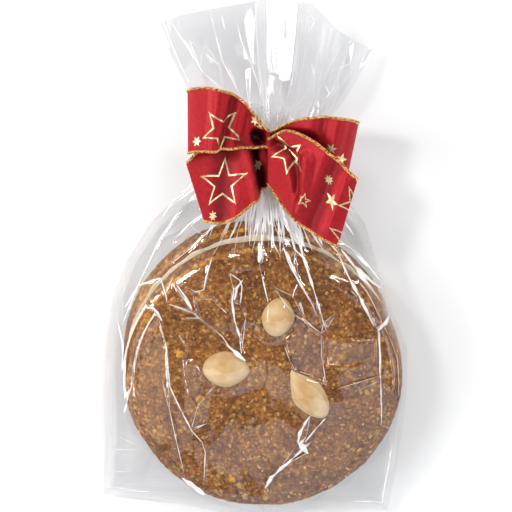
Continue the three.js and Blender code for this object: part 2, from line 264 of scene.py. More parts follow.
PANELS = [  # flat film between folds: the height of the lowest corner, and the corners anticlockwise
    (34.0, [(13.5, -24.5), (16.6, -38.8), (31.2, -45.0), (30.0, -24.0), (19.0, -13.0)]),
    (32.6, [(30.8, -24.5), (31.8, -36.7), (41.7, -37.6), (53.3, -34.9), (53.1, -25.9)]),
    (33.6, [(-30.2, -34.0), (-28.7, -50.5), (-23.1, -56.5), (-21.7, -43.6), (-25.0, -34.0)]),
    (33.3, [(-25.6, -6.6), (-24.0, -15.5), (-12.1, -24.5), (-8.7, -21.4), (-10.8, -13.3), (-17.1, -5.7)]),
]
PANEL_SLOPE, PANEL_EDGE = 0.045, 1.1  # their tilt to the light, and how wide their edges are, in mm
GLINTS = [  # short wide folds drawn white all along as painted highlights: half width and corners, in mm
    (1.3, [(-11.5, -27), (-8.2, -29.7), (-3.1, -34.0)]),
    (1.6, [(23.1, -69.5), (20.5, -72.6), (24.1, -77.8)]),
    (0.9, [(25.8, -71.5), (22.5, -74.5), (18, -79), (8, -89), (5.2, -94.8)]),
    (2.3, [(-31.5, -90.5), (-27.4, -93.7), (-21.5, -98.8)]),
    (0.8, [(-60, -18), (-56.5, -29), (-57, -41)]),
    (0.9, [(-55.7, -49), (-54.7, -53.5), (-56.7, -61)]),
    (1.4, [(37.6, 12.2), (42.6, 6.3), (49.1, 0.4), (57.2, -7.9)]),
    (1.1, [(42.6, 11.1), (50.1, 4.1), (56.9, -5.8)]),
    (1.3, [(39.9, 9.2), (45.2, 2.7), (51.8, -4.6)]),
    (0.8, [(52, -20), (46, -8), (40, 3)]),
    (0.9, [(59.7, -18.1), (56.2, -19.6), (53.5, -21.9)]),
    (1.0, [(-50.3, -4.4), (-44.8, -1.9), (-39.7, 0.1)]),
    (0.8, [(-55.8, -14.4), (-50.3, -5.3)]),
    (1.1, [(-44.4, -10.6), (-40.9, -13.8), (-39.1, -17.6)]),
    (1.0, [(2.5, 16.7), (2.9, 12.3), (2.5, 8.4)]),
    (1.0, [(13.9, 13.1), (15.6, 9.3), (18.1, 4.3)]),
    (0.8, [(-33.0, -1.3), (-29.5, -6.0), (-26.1, -11.9)]),
    (0.7, [(-8.1, -7.8), (-6.9, -2.5), (-4.3, 1.2)]),
    (1.8, [(12.7, 25.0), (15.7, 21.3), (19.0, 15.9)]),
]
BEAD_HEIGHT, BEAD_HALF_WIDTH = 0.38, 0.75  # the sharp ridge on top of a main crease
TIGHTEST, LOOSE_AT_NECK, LOOSE_AT_LEFT, LOOSE_BESIDE = 0.15, 1.9, 0.7, 1.5  # how far the film stands off
FOLDED_FROM_TO = (-120, 0), (120, 72)  # the stretch of fold space that has the bag's folds


def fold_space(x, y):
    """A plane in which the folds, which fan out from the neck, run side by side."""
    dx, dy = np.asarray(x) - FOLDS_MEET_X, FOLDS_MEET_Y - np.asarray(y)
    return np.arctan2(dx, dy) * FOLD_ARC, np.hypot(dx, dy) * FOLD_RUN


def from_fold_space(s, t):
    angle, far = s / FOLD_ARC, t / FOLD_RUN
    return FOLDS_MEET_X + far * math.sin(angle), FOLDS_MEET_Y - far * math.cos(angle)


def looseness(s, t):
    """How far the film stands off what it covers, in mm: tight at the lower right."""
    x, y = from_fold_space(s, t)
    towards_neck = float(smooth(-40.0, 15.0, y))
    towards_left = float(smooth(15.0, -45.0, x))
    beside = float(smooth(61.0, 66.0, math.hypot(x - DISC_X, y - DISC_Y)))
    loose = TIGHTEST + LOOSE_AT_NECK * towards_neck + LOOSE_AT_LEFT * towards_left * (1 - towards_neck)
    loose = max(loose, LOOSE_BESIDE * beside)
    return loose * min(1.0, 0.3 + 0.7 * t / FOLD_RUN / FOLD_ARC)


def scatter(seed, low, high, spacing, tries=9000):
    """Random points in a box, none closer to another than spacing."""
    draw = random.Random(seed)
    cells = {}
    points = []
    for _ in range(tries):
        p = (draw.uniform(low[0], high[0]), draw.uniform(low[1], high[1]))
        column, row = (int(c // spacing) for c in p)
        near = []
        for i in (-1, 0, 1):
            for j in (-1, 0, 1):
                near += cells.get((column + i, row + j), [])
        if all(math.dist(p, q) >= spacing for q in near):
            cells.setdefault((column, row), []).append(p)
            points.append(p)
    return points


class FoldNet:
    """Flat facets between folds: a triangle net over a plane, which gives a height."""

    def __init__(self, seed, low, high, spacing, loose, folds=()):
        draw = random.Random(seed)
        coords, heights, edges = [], [], []
        for height, corners in folds:
            for i, corner in enumerate(corners):
                coords.append((float(corner[0]), float(corner[1])))
                heights.append(height * (0.5 if i in (0, len(corners) - 1) else 1.0))
                if i:
                    edges.append((len(coords) - 2, len(coords) - 1))
        held = list(coords)
        for p in scatter(seed + 1, low, high, spacing):
            if all(math.dist(p, c) > spacing * 0.45 for c in held):
                coords.append(p)
                heights.append(loose(*p) * draw.random() ** 1.4)
        verts, _, faces, origins, _, _ = delaunay_2d_cdt([Vector(c) for c in coords], edges, [], 0, 1e-5)
        known = [(coords[i], heights[i]) for i in range(len(held))]
        self.net = []
        for vert, origin in zip(verts, origins):
            if origin:
                height = max(heights[i] for i in origin)
            else:
                height = min(known, key=lambda k: math.dist(k[0], vert))[1]
            self.net.append(Vector((vert.x, vert.y, height)))
        self.faces = [list(f) for f in faces]
        self.tree = BVHTree.FromPolygons(self.net, self.faces)

    def height(self, s, t):
        found = np.zeros(len(s))
        for i in range(len(s)):
            hit = self.tree.ray_cast(Vector((s[i], t[i], 50.0)), Vector((0, 0, -1)))[0]
            found[i] = hit.z if hit else 0.0
        return found

    def edges(self, sharper_than):
        """The net's folds: both ends and the angle between the facets that meet there."""
        sides = {}
        for face in self.faces:
            a, b, c = (self.net[i] for i in face[:3])
            normal = (b - a).cross(c - a).normalized()
            for i, j in zip(face, face[1:] + face[:1]):
                sides.setdefault((min(i, j), max(i, j)), []).append(normal if normal.z > 0 else -normal)
        for (i, j), normals in sides.items():
            if len(normals) == 2:
                turn = normals[0].angle(normals[1], 0.0)
                if turn > sharper_than:
                    yield self.net[i].xy, self.net[j].xy, turn


def beads(x, y, creases):
    """The sharp ridges that stand on the main creases."""
    raised = np.zeros_like(x)
    for height, corners in creases:
        for (ax, ay), (bx, by) in zip(corners, corners[1:]):
            dx, dy = bx - ax, by - ay
            share = clamp01(((x - ax) * dx + (y - ay) * dy) / (dx * dx + dy * dy))
            away = np.hypot(x - ax - share * dx, y - ay - share * dy)
            ridge = BEAD_HEIGHT * min(1.0, height) * (1 - smooth(0.0, BEAD_HALF_WIDTH, away))
            raised = np.maximum(raised, ridge)
    return raised


def with_panels(x, y, z):
    """The film's height with its panels, each a plane that falls the way the hinge does."""
    for low, corners in PANELS:
        inside = np.full_like(x, np.inf)
        for (ax, ay), (bx, by) in zip(corners, corners[1:] + corners[:1]):
            length = math.dist((ax, ay), (bx, by))
            inside = np.minimum(inside, ((bx - ax) * (y - ay) - (by - ay) * (x - ax)) / length)
        lowest = max(HINGE_SIDE[0] * cx + HINGE_SIDE[1] * cy for cx, cy in corners)
        plane = low + PANEL_SLOPE * (lowest - HINGE_SIDE[0] * x - HINGE_SIDE[1] * y)
        z = mix(z, plane, smooth(0.0, PANEL_EDGE, inside))
    return z


# --------------------------------------------------------------------------- mesh helpers
def piece_from(bm, name, material, smooth_shaded=True):
    """A named object from a bmesh whose vertices are in mm."""
    bmesh.ops.scale(bm, vec=(MM, MM, MM), verts=bm.verts)
    mesh = bpy.data.meshes.new(name)
    bm.to_mesh(mesh)
    bm.free()
    for polygon in mesh.polygons:
        polygon.use_smooth = smooth_shaded
    mesh.materials.append(material)
    made = bpy.data.objects.new(name, mesh)
    bpy.context.scene.collection.objects.link(made)
    return made


def belongs(made):
    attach(made, "root")
    return made


def grid_mesh(columns, rows, place):
    """A bmesh grid whose vertices go where place puts their u and v, from -1 to 1 and 0 to 1."""
    bm = bmesh.new()
    bmesh.ops.create_grid(bm, x_segments=columns, y_segments=rows, size=1.0)
    bm.verts.ensure_lookup_table()
    flat = np.array([v.co[:2] for v in bm.verts])
    placed = place(flat[:, 0], (flat[:, 1] + 1) / 2)
    for vert, point in zip(bm.verts, placed):
        vert.co = point
    return bm


# ------------------------------------------------------------------------------ materials
def new_material(name):
    made = bpy.data.materials.new(name)
    made.use_nodes = True
    nodes = made.node_tree.nodes
    nodes.clear()
    output = nodes.new("ShaderNodeOutputMaterial")
    return made, nodes, made.node_tree.links, output


def set_sockets(node, settings):
    """Sets a node's sockets by name, with _ for a space."""
    for socket, value in settings.items():
        node.inputs[socket.replace("_", " ")].default_value = value


def object_place(nodes):
    return nodes.new("ShaderNodeTexCoord").outputs["Object"]


def attribute(nodes, name):
    node = nodes.new("ShaderNodeAttribute")
    node.attribute_name = name
    return node.outputs["Fac"]


def pattern(nodes, links, kind, coordinates, **settings):
    """A texture node on given coordinates."""
    node = nodes.new(kind)
    links.new(coordinates, node.inputs["Vector"])
    set_sockets(node, settings)
    return node


def ramp(nodes, links, source, stops):
    """A source turned into colours by (position, colour) stops."""
    node = nodes.new("ShaderNodeValToRGB")
    links.new(source, node.inputs[0])
    elements = node.color_ramp.elements
    while len(elements) < len(stops):
        elements.new(0.5)
    for element, (position, colour) in zip(elements, stops):
        element.position = position
        element.color = (*colour, 1)
    return node.outputs[0]


def blend_colours(nodes, links, share, first, second, mode="MIX"):
    node = nodes.new("ShaderNodeMix")
    node.data_type = "RGBA"
    node.blend_type = mode
    node.inputs[0].default_value = share
    links.new(first, node.inputs[6])
    links.new(second, node.inputs[7])
    return node.outputs[2]


def toned(nodes, links, colour, source, stops):
    """A colour multiplied by the tones that a ramp gives for a source."""
    return blend_colours(nodes, links, 1.0, colour, ramp(nodes, links, source, stops), "MULTIPLY")


def bump(nodes, links, shader, height, strength, distance):
    node = nodes.new("ShaderNodeBump")
    set_sockets(node, {"Strength": strength, "Distance": distance})
    links.new(height, node.inputs["Height"])
    links.new(node.outputs[0], shader.inputs["Normal"])


def roughened(nodes, links, shader, scale, detail, strength, distance):
    """Fine bumps all over a surface."""
    grain = pattern(nodes, links, "ShaderNodeTexNoise", object_place(nodes), Scale=scale, Detail=detail)
    bump(nodes, links, shader, grain.outputs[0], strength, distance)


def principled(name, **settings):
    """A material of one shader, with what is the same all over set on its sockets."""
    made, nodes, links, output = new_material(name)
    shader = nodes.new("ShaderNodeBsdfPrincipled")
    set_sockets(shader, settings)
    links.new(shader.outputs[0], output.inputs["Surface"])
    return made, nodes, links, shader


def speckled(name, scale, detail, tones, **settings):
    """A material whose colour runs through tones with a noise."""
    made, nodes, links, shader = principled(name, **settings)
    speckle = pattern(nodes, links, "ShaderNodeTexNoise", object_place(nodes), Scale=scale, Detail=detail)
    links.new(ramp(nodes, links, speckle.outputs[0], tones), shader.inputs["Base Color"])
    return made, nodes, links, shader


def partly_clear(name, kind, tint, **settings):
    """A tinted clear shader blended with another one, and the socket for the other one's share."""
    made, nodes, links, output = new_material(name)
    clear = nodes.new("ShaderNodeBsdfTransparent")
    clear.inputs["Color"].default_value = tint
    other = nodes.new(kind)
    set_sockets(other, settings)
    blend = nodes.new("ShaderNodeMixShader")
    links.new(clear.outputs[0], blend.inputs[1])
    links.new(other.outputs[0], blend.inputs[2])
    links.new(blend.outputs[0], output.inputs["Surface"])
    return made, nodes, links, blend.inputs[0]


CLEAR, FILM_TINT = (1, 1, 1, 1), (0.932, 0.934, 0.940, 1)
MIRRORED_HEAD_ON = 0.09  # the share of light that the film mirrors when seen square on
# white for the fold ridges and the bunched neck: partly the white of folded film, partly a painted highlight
WHITE_FILM = {"Base_Color": (0.98, 0.98, 0.98, 1), "Roughness": 0.2, "Specular_IOR_Level": 0.9}
FOLD_WHITE_AND_HIGHLIGHT = 0.7


def film_material():
    """Clear cellophane: most light goes through, and both of its faces mirror a little."""
    made, nodes, links, share = partly_clear(
        "clear_film", "ShaderNodeBsdfGlossy", FILM_TINT, Color=(1, 1, 1, 1), Roughness=0.06
    )
    slant = nodes.new("ShaderNodeLayerWeight")
    slant.inputs["Blend"].default_value = 0.5
    steep = nodes.new("ShaderNodeMath")
    steep.operation = "POWER"
    steep.inputs[1].default_value = 5.0
    mirrored = nodes.new("ShaderNodeMath")
    mirrored.operation = "MULTIPLY_ADD"
    mirrored.inputs[1].default_value = 1.0 - MIRRORED_HEAD_ON
    mirrored.inputs[2].default_value = MIRRORED_HEAD_ON
    links.new(slant.outputs["Facing"], steep.inputs[0])
    links.new(steep.outputs[0], mirrored.inputs[0])
    links.new(mirrored.outputs[0], share)
    return made


def ridge_material():
    """Folded film: white, partly as the sharp fold scatters light and partly as a painted highlight."""
    made, _, _, share = partly_clear("folded_film", "ShaderNodeBsdfPrincipled", CLEAR, **WHITE_FILM)
    share.default_value = FOLD_WHITE_AND_HIGHLIGHT
    return made


def bunched_material():
    """Film packed into the neck: white, partly as a painted highlight, where its white attribute says so,
    clear elsewhere.
    """
    made, nodes, links, share = partly_clear("bunched_film", "ShaderNodeBsdfPrincipled", CLEAR, **WHITE_FILM)
    links.new(attribute(nodes, "white"), share)
    return made


DOUGH_CRUMBS = [  # size of the crumbs, as cells per metre, and their tones from the rarest dark to light
    (600.0, [
        (0.0, (0.17, 0.055, 0.015)), (0.3, (0.29, 0.105, 0.026)), (0.75, (0.395, 0.158, 0.037)),
        (0.93, (0.49, 0.222, 0.055)), (1.0, (0.68, 0.40, 0.13)),
    ]),
    (1150.0, [
        (0.0, (0.18, 0.058, 0.016)), (0.5, (0.33, 0.124, 0.031)), (0.92, (0.48, 0.215, 0.058)),
        (1.0, (0.67, 0.40, 0.14)),
    ]),
]
FINER_CRUMBS = 0.42  # the share of the finer crumbs in the colour
CRUMB_GAPS = [(0.30, (1.07, 1.07, 1.07)), (0.66, (0.68, 0.62, 0.58))]  # by how far from a crumb's middle
DOUGH_GRAIN = [(0.34, (0.76, 0.74, 0.72)), (0.66, (1.22, 1.24, 1.26))]
BROWNING = [(0.36, (0.63, 0.575, 0.505)), (0.64, (1.05, 1.10, 1.05))]
RELIEF_TONES_AND_HIGHLIGHT = [  # by relief: dark in the pits, and a painted highlight on the lebkuchen's sharp edge
    (0.10, (0.46, 0.38, 0.31)), (0.36, (0.90, 0.88, 0.85)), (0.75, (1.16, 1.20, 1.20)),
    (1.0, (2.2, 2.5, 2.3)),
]


def dough_material():
    """Baked nut dough: crumbs from dark brown to tan with dark gaps, matte and a little oily."""
    made, nodes, links, shader = principled("baked_dough", Roughness=0.62, Specular_IOR_Level=0.12)
    here = object_place(nodes)
    fine = pattern(nodes, links, "ShaderNodeTexNoise", here, Scale=1300.0, Detail=3.0, Roughness=0.6)
    patches = pattern(nodes, links, "ShaderNodeTexNoise", here, Scale=48.0, Detail=4.0, Roughness=0.6)
    crumbs = []
    for scale, stops in DOUGH_CRUMBS:
        cells = pattern(nodes, links, "ShaderNodeTexVoronoi", here, Scale=scale)
        apart = nodes.new("ShaderNodeSeparateColor")
        links.new(cells.outputs["Color"], apart.inputs[0])
        own = ramp(nodes, links, apart.outputs[0], stops)
        crumbs.append(toned(nodes, links, own, cells.outputs["Distance"], CRUMB_GAPS))
    colour = blend_colours(nodes, links, FINER_CRUMBS, *crumbs)
    colour = toned(nodes, links, colour, fine.outputs[0], DOUGH_GRAIN)
    colour = toned(nodes, links, colour, patches.outputs[0], BROWNING)
    # darker in the pits, and a painted highlight along the crest on one side
    colour = toned(nodes, links, colour, attribute(nodes, "relief_and_highlight"), RELIEF_TONES_AND_HIGHLIGHT)
    links.new(colour, shader.inputs["Base Color"])
    bump(nodes, links, shader, fine.outputs[0], 0.45, 0.0004)
    return made


def wafer_material():
    tones = [(0.3, (0.70, 0.58, 0.38)), (0.7, (0.86, 0.78, 0.58))]
    made, nodes, links, shader = speckled("wafer", 500.0, 4.0, tones, Roughness=0.8)
    roughened(nodes, links, shader, 500.0, 4.0, 0.4, 0.0002)
    return made


def almond_material():
    tones = [(0.35, (0.62, 0.37, 0.145)), (0.62, (0.75, 0.54, 0.29))]
    made, nodes, links, shader = speckled(
        "blanched_almond", 110.0, 2.0, tones, Roughness=0.42,
        Subsurface_Weight=0.15, Subsurface_Radius=(0.004, 0.002, 0.001), Subsurface_Scale=1.0,
    )
    roughened(nodes, links, shader, 900.0, 3.0, 0.25, 0.0002)
    return made


def bits_material(name, colour, roughness=0.45):
    dark = tuple(c * 0.55 for c in colour)
    light = tuple(min(1.0, c * 1.3) for c in colour)
    return speckled(name, 400.0, 2.0, [(0.35, dark), (0.65, light)], Roughness=roughness)[0]


def gold_material(name, bright, dull, roughness):
    return speckled(name, 1500.0, 2.0, [(0.40, dull), (0.58, bright)], Metallic=0.7, Roughness=roughness)[0]


RIBBON_REDS = [(0.3, (0.31, 0.008, 0.012)), (0.7, (0.41, 0.013, 0.019))]
FOLD_SHADE = [  # painted shade, by how deep a fold is
    (0.0, (1.0, 1.0, 1.0)), (0.2, (0.80, 0.78, 0.78)), (0.6, (0.34, 0.30, 0.30)), (1.0, (0.10, 0.09, 0.09)),
]


def ribbon_material():
    """Fine red taffeta: threads across the ribbon, a soft sheen, and painted shade in its deep folds."""
    made, nodes, links, shader = principled(
        "red_taffeta", Metallic=0.4, Roughness=0.33,
        Specular_IOR_Level=0.5, Specular_Tint=(1.0, 0.5, 0.55, 1),
        Sheen_Weight=0.3, Sheen_Roughness=0.2, Sheen_Tint=(1.0, 0.35, 0.4, 1),
    )
    cloth = nodes.new("ShaderNodeUVMap").outputs[0]
    weft = pattern(nodes, links, "ShaderNodeTexWave", cloth, Scale=260.0, Distortion=0.6)
    weft.bands_direction = "Y"
    slub = pattern(nodes, links, "ShaderNodeTexNoise", cloth, Scale=60.0, Detail=3.0)
    red = ramp(nodes, links, slub.outputs[0], RIBBON_REDS)
    # painted shade: the red is darkened by how deep its fold is
    shaded = toned(nodes, links, red, attribute(nodes, "painted_fold_shade"), FOLD_SHADE)
    links.new(shaded, shader.inputs["Base Color"])
    bump(nodes, links, shader, weft.outputs[0], 0.25, 0.0001)
    return made


# ------------------------------------------------------------------------------- the film
FAN_ACROSS, FAN_UP = 62.0, 24.0  # how the fan's share of width and height become a plane
FAN_FROM_TO = (-64, -1), (64, 26)  # the stretch of that plane that has the fan's folds
FAN_FOLDS = [  # height, and corners as shares of the width (-1 to 1) and the height (0 to 1)
    (1.6, [(-0.775, 0.81), (-0.758, 0.69), (-0.75, 0.59)]),
    (1.0, [(-0.467, 0.94), (-0.458, 0.84)]),
    (1.3, [(-0.69, 0.71), (-0.575, 0.6), (-0.558, 0.54)]),
    (1.6, [(-0.333, 0.88), (-0.3, 0.73), (-0.217, 0.556), (-0.117, 0.344)]),
    (2.2, [(-0.142, 1.0), (-0.167, 0.87), (-0.142, 0.55), (-0.083, 0.27)]),
    (1.0, [(0.025, 0.9), (-0.058, 0.7), (-0.033, 0.475), (-0.017, 0.27)]),
    (0.5, [(0.075, 0.98), (0.117, 0.74), (0.1, 0.463), (0.125, 0.2)]),
    (1.2, [(0.183, 0.95), (0.208, 0.67), (0.2, 0.463), (0.158, 0.18)]),
    (0.4, [(0.233, 0.93), (0.226, 0.66), (0.242, 0.488), (0.225, 0.275)]),
    (1.8, [(0.333, 0.9), (0.283, 0.79), (0.235, 0.68)]),
    (1.0, [(0.55, 0.88), (0.6, 0.84)]),
    (1.2, [(0.367, 0.625), (0.467, 0.525), (0.425, 0.425)]),
    (1.2, [(0.55, 0.56), (0.725, 0.48), (0.69, 0.4)]),
    (1.5, [(0.375, 0.394), (0.292, 0.213)]),
    (1.4, [(0.667, 0.894), (0.6, 0.6), (0.608, 0.25)]),
    (0.8, [(-0.558, 1.0), (-0.533, 0.625), (-0.367, 0.275)]),
    (0.9, [(-0.883, 0.97), (-0.75, 0.57), (-0.583, 0.388)]),
]


def fold_plane(folds, to_plane):
    return [(height, [to_plane(*corner) for corner in corners]) for height, corners in folds]


def fan_plane(u, t):
    return u * FAN_ACROSS, t * FAN_UP


def fan_looseness(s, _):
    """How far the fan's facets stand out at its left, in its middle and at its right, in mm."""
    return 1.1 if s < -10 else 1.0 if s < 14 else 2.0


def fine_waves(x, y, size):
    """Small unevenness of the film between its folds."""
    return np.array([noise.noise(Vector((a / size, b / size, 0.0))) for a, b in zip(x, y)])


RIDGE_STEP = 0.7  # the length of a white ridge's facets, in mm
RIDGE_FOOT, RIDGE_CREST = 0.05, 0.07  # how far a ridge's foot and the thinnest crest are off the film, in mm
RIDGE_STEEPNESS = 0.45  # how much higher a crest is for its half width


def in_steps(corners, step):
    """Points about a step apart along a path of corners."""
    line = [np.array(corners[0], float)]
    for a, b in zip(corners, corners[1:]):
        a, b = np.array(a, float), np.array(b, float)
        steps = max(1, int(np.linalg.norm(b - a) / step))
        line += [mix(a, b, k / steps) for k in range(1, steps + 1)]
    return line


def ridge_width(half_width, number, p, share):
    """A ridge's half width at a point: it comes and goes, and tapers to both ends."""
    patchy = 0.6 + 0.9 * noise.noise(Vector((p[0] * 0.22, p[1] * 0.22, number * 0.37)))
    taper = math.sqrt(4 * share * (1 - share))
    return half_width * max(0.12, patchy) * max(0.1, taper)


def crease_lines(name, film_piece, paths, material):
    """Thin white ridges, partly painted highlights, where the film is folded sharply, along paths of (x, y)
    on a piece of film.
    """
    mesh = film_piece.data
    tree = BVHTree.FromPolygons([v.co / MM for v in mesh.vertices], [p.vertices[:] for p in mesh.polygons])
    bm = bmesh.new()
    for number, (half_width, corners) in enumerate(paths):
        line = in_steps(corners, RIDGE_STEP)
        rows = []
        for i, p in enumerate(line):
            hit, normal, _, _ = tree.ray_cast(Vector((p[0], p[1], 80.0)), Vector((0, 0, -1)))
            if hit is None:
                continue
            ahead = line[min(i + 1, len(line) - 1)] - line[max(i - 1, 0)]
            across = normal.cross(Vector((ahead[0], ahead[1], 0.0))).normalized()
            width = ridge_width(half_width, number, p, i / (len(line) - 1))
            foot = hit + normal * RIDGE_FOOT
            crest = hit + normal * (RIDGE_CREST + RIDGE_STEEPNESS * width)
            rows.append([bm.verts.new(c) for c in (foot + across * width, crest, foot - across * width)])
        for a, b in zip(rows, rows[1:]):
            for k in (0, 1):
                bm.faces.new((a[k], a[k + 1], b[k + 1], b[k]))
    bmesh.ops.recalc_face_normals(bm, faces=bm.faces)
    return belongs(piece_from(bm, name, material))


# Pleats below the neck: direction from straight down and its spread in degrees, how many,
# where they start and how long they are from the meeting point of the folds, and half width.
GATHERS = [
    (12, 15, 64, 20, 20, 1.4),
    (21, 8, 46, 20, 36, 1.7),
    (2, 7, 26, 18, 34, 0.7),
    (-34, 12, 28, 24, 28, 0.6),
    (52, 8, 40, 30, 40, 1.0),
    (-62, 8, 26, 36, 36, 0.8),
]
GATHER_BEND = 1.5  # how far a pleat strays from its direction, in degrees


def gather_paths():
    """Short white pleats, partly painted highlights, that fan out below the neck."""
    draw = random.Random(12)
    paths = []
    for direction, spread, count, start, length, half_width in GATHERS:
        for _ in range(count):
            turn = math.radians(draw.gauss(direction, spread))
            near = start * draw.uniform(0.85, 1.35)
            far = near + length * draw.uniform(0.35, 1.0)
            corners = []
            for k in range(4):
                reach = mix(near, far, k / 3)
                bend = turn + math.radians(draw.uniform(-GATHER_BEND, GATHER_BEND))
                corners.append((FOLDS_MEET_X + reach * math.sin(bend), FOLDS_MEET_Y - reach * math.cos(bend)))
            paths.append((half_width * draw.uniform(0.25, 1.0), corners))
    return paths


BUNCH_PLEATS, BUNCH_TOP, BUNCH_END = 19, 74.0, 16.0
BUNCH = {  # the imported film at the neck, and what its ends in the bag and in the fan add to that, in mm
    "x": (NECK_X, 5.0, 0.0),
    "z": (NECK_Z, 3.0, 2.0),
    "half_width": (4.6, 9.2, 5.52),
    "half_height": (5.0, 2.5, -3.2),
}
UNDER_RIBBON = 3.0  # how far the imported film's underside goes on at both ends of the tied neck
WHITE_FADES_OVER = 0.4  # the share of the way into the bag or the fan over which a pleat's white fades


def bunch_y(across):
    return mix(BUNCH_END, BUNCH_TOP, (across + 1) / 2)


def is_loose_underside(face):
    """Whether a face of the bunch's flat grid will lie below its middle and outside the neck."""
    middle = face.calc_center_median()
    in_neck = NECK_LOW - UNDER_RIBBON < bunch_y(middle.y) < NECK_HIGH + UNDER_RIBBON
    return math.cos((middle.x + 1) * math.pi) < 0 and not in_neck


def make_bunch(material):
    """Gathered film inside the neck, which opens into the bag and into the fan in white pleats that are
    partly painted highlights.
    """
    draw = random.Random(4)
    stays_white = [draw.uniform(0.85, 1.3) for _ in range(BUNCH_PLEATS)]
    bm = bmesh.new()
    bmesh.ops.create_grid(bm, x_segments=20 * BUNCH_PLEATS, y_segments=56, size=1.0)
    bmesh.ops.delete(bm, geom=[f for f in bm.faces if is_loose_underside(f)], context="FACES")
    white = bm.verts.layers.float.new("white")
    for vert in bm.verts:
        turn, y = (vert.co.x + 1) * math.pi, bunch_y(vert.co.y)
        in_bag = float(smooth(NECK_LOW, BUNCH_END, y))
        in_fan = float(smooth(NECK_HIGH, BUNCH_TOP, y))
        form = {key: neck + bag * in_bag + fan * in_fan for key, (neck, bag, fan) in BUNCH.items()}
        sway = noise.noise(Vector((2 * math.sin(turn), 2 * math.cos(turn), y * 0.12)))
        pleat = math.cos(BUNCH_PLEATS * turn + 2.5 * sway * (in_bag + in_fan))
        height = form["half_height"] * (0.74 + 0.22 * pleat) * math.cos(turn)
        vert.co = Vector((form["x"] + form["half_width"] * math.sin(turn), y, form["z"] + height))
        longest = stays_white[round(turn / (2 * math.pi) * BUNCH_PLEATS) % BUNCH_PLEATS]
        faded = max(0.0, min(1.0, (longest - in_bag - in_fan) / WHITE_FADES_OVER))
        # how white the film is here: partly the white of bunched film, partly a painted highlight
        vert[white] = faded * (0.7 + 0.28 * (0.5 + 0.5 * pleat) ** 2)
    bmesh.ops.remove_doubles(bm, verts=bm.verts, dist=0.003)
    bmesh.ops.recalc_face_normals(bm, faces=bm.faces)
    belongs(piece_from(bm, "film_bunch", material))


def held_by_neck(y, least):
    """How much of the folds is left where the neck holds the film."""
    return mix(1.0, least, smooth(GATHERS_FROM, NECK_LOW, y))


def shown_film(net):
    """Puts a grid on the shown side below the neck, with the net's folds, the panels and the ridges."""
    def place(u, v):
        x, y, z, to_edge = body_point(1, u, v)
        free = clamp01(to_edge / 5.0)
        folds = net.height(*fold_space(x, y)) + 0.025 * fine_waves(x, y, 2.5)
        z = z + folds * free * held_by_neck(y, 0.35)
        return np.stack([x, y, with_panels(x, y, z) + beads(x, y, CREASES) * free], axis=1)
    return place


def back_film(net):
    """Puts a grid on the back below the neck, smooth where the stack rests on it."""
    def place(u, v):
        x, y, z, to_edge = body_point(-1, u, v)
        off_rest = clamp01((np.hypot(x - REAR_WAFER["x"], y - REAR_WAFER["y"]) - 62.0) / 8.0)
        folds = net.height(*fold_space(x, y)) * off_rest * clamp01(to_edge / 4.0)
        return np.stack([x, y, z + folds * held_by_neck(y, 0.3) + BACK_LIFT * clamp01(to_edge)], axis=1)
    return place


NECK_PLEATS, NECK_PLEAT_HEIGHT = 11, 0.8  # on each face of the fan where it leaves the neck
FAN_OPENS_UNEVENLY = 0.32


def fan_xy(u, t):
    """x and y of a point of the fan, from shares of its width and height."""
    x = mix(NECK_X + NECK_RADIUS * np.sin(u * math.pi / 2), along(TOP_EDGE, u, 1), t ** FAN_SPREAD)
    return x, mix(NECK_HIGH, along(TOP_EDGE, u, 2), t)


def fan_film(face, net):
    """Puts a grid on the fan's front (1) or back (-1), which opens from the round neck into a wavy sheet."""
    def place(u, t):
        x, y = fan_xy(u, t)
        from_side = 1 - np.abs(u)
        half_gap = 0.5 * clamp01(from_side / 0.05) * (1 + t * (1.2 + np.cos(9 * u)))
        crinkle = net.height(*fan_plane(u, t)) * clamp01(from_side / 0.06) * smooth(0.05, 0.35, t)
        wavy = mix(FAN_Z, along(TOP_EDGE, u, 3), t ** FAN_SPREAD)
        sheet = wavy + face * half_gap + crinkle * mix(1.0, 0.5, t ** 4)
        bulge = np.cos(u * math.pi / 2)
        pleats = NECK_PLEAT_HEIGHT * np.cos(NECK_PLEATS * math.pi * (u + 1))
        ring = NECK_Z + face * bulge * (NECK_RADIUS + pleats)
        opened = smooth(0.0, FAN_OPENS_BY * (1 + FAN_OPENS_UNEVENLY * np.cos(8 * u + 1.0)), t)
        return np.stack([x, y, mix(ring, sheet, opened)], axis=1)
    return place


def make_neck(material):
    """The plain ring of film under the ribbon."""
    bm = bmesh.new()
    bmesh.ops.create_cone(bm, cap_ends=False, segments=96, radius1=NECK_RADIUS, radius2=NECK_RADIUS,
                          depth=NECK_HIGH - NECK_LOW)
    along_y = Vector((0, 0, 1)).rotation_difference(Vector((0, 1, 0))).to_matrix()
    bmesh.ops.rotate(bm, verts=bm.verts, matrix=along_y)
    bmesh.ops.translate(bm, verts=bm.verts, vec=(NECK_X, (NECK_LOW + NECK_HIGH) / 2, NECK_Z))
    return piece_from(bm, "film_neck", material)


SHARP, SHARP_ON_STACK, SHARP_ON_FAN = 0.16, 0.32, 0.3  # angles from which a net's fold shows as a ridge
BARE_BELOW_NECK = 18.0  # no such ridges this close to the meeting point of the folds, in mm


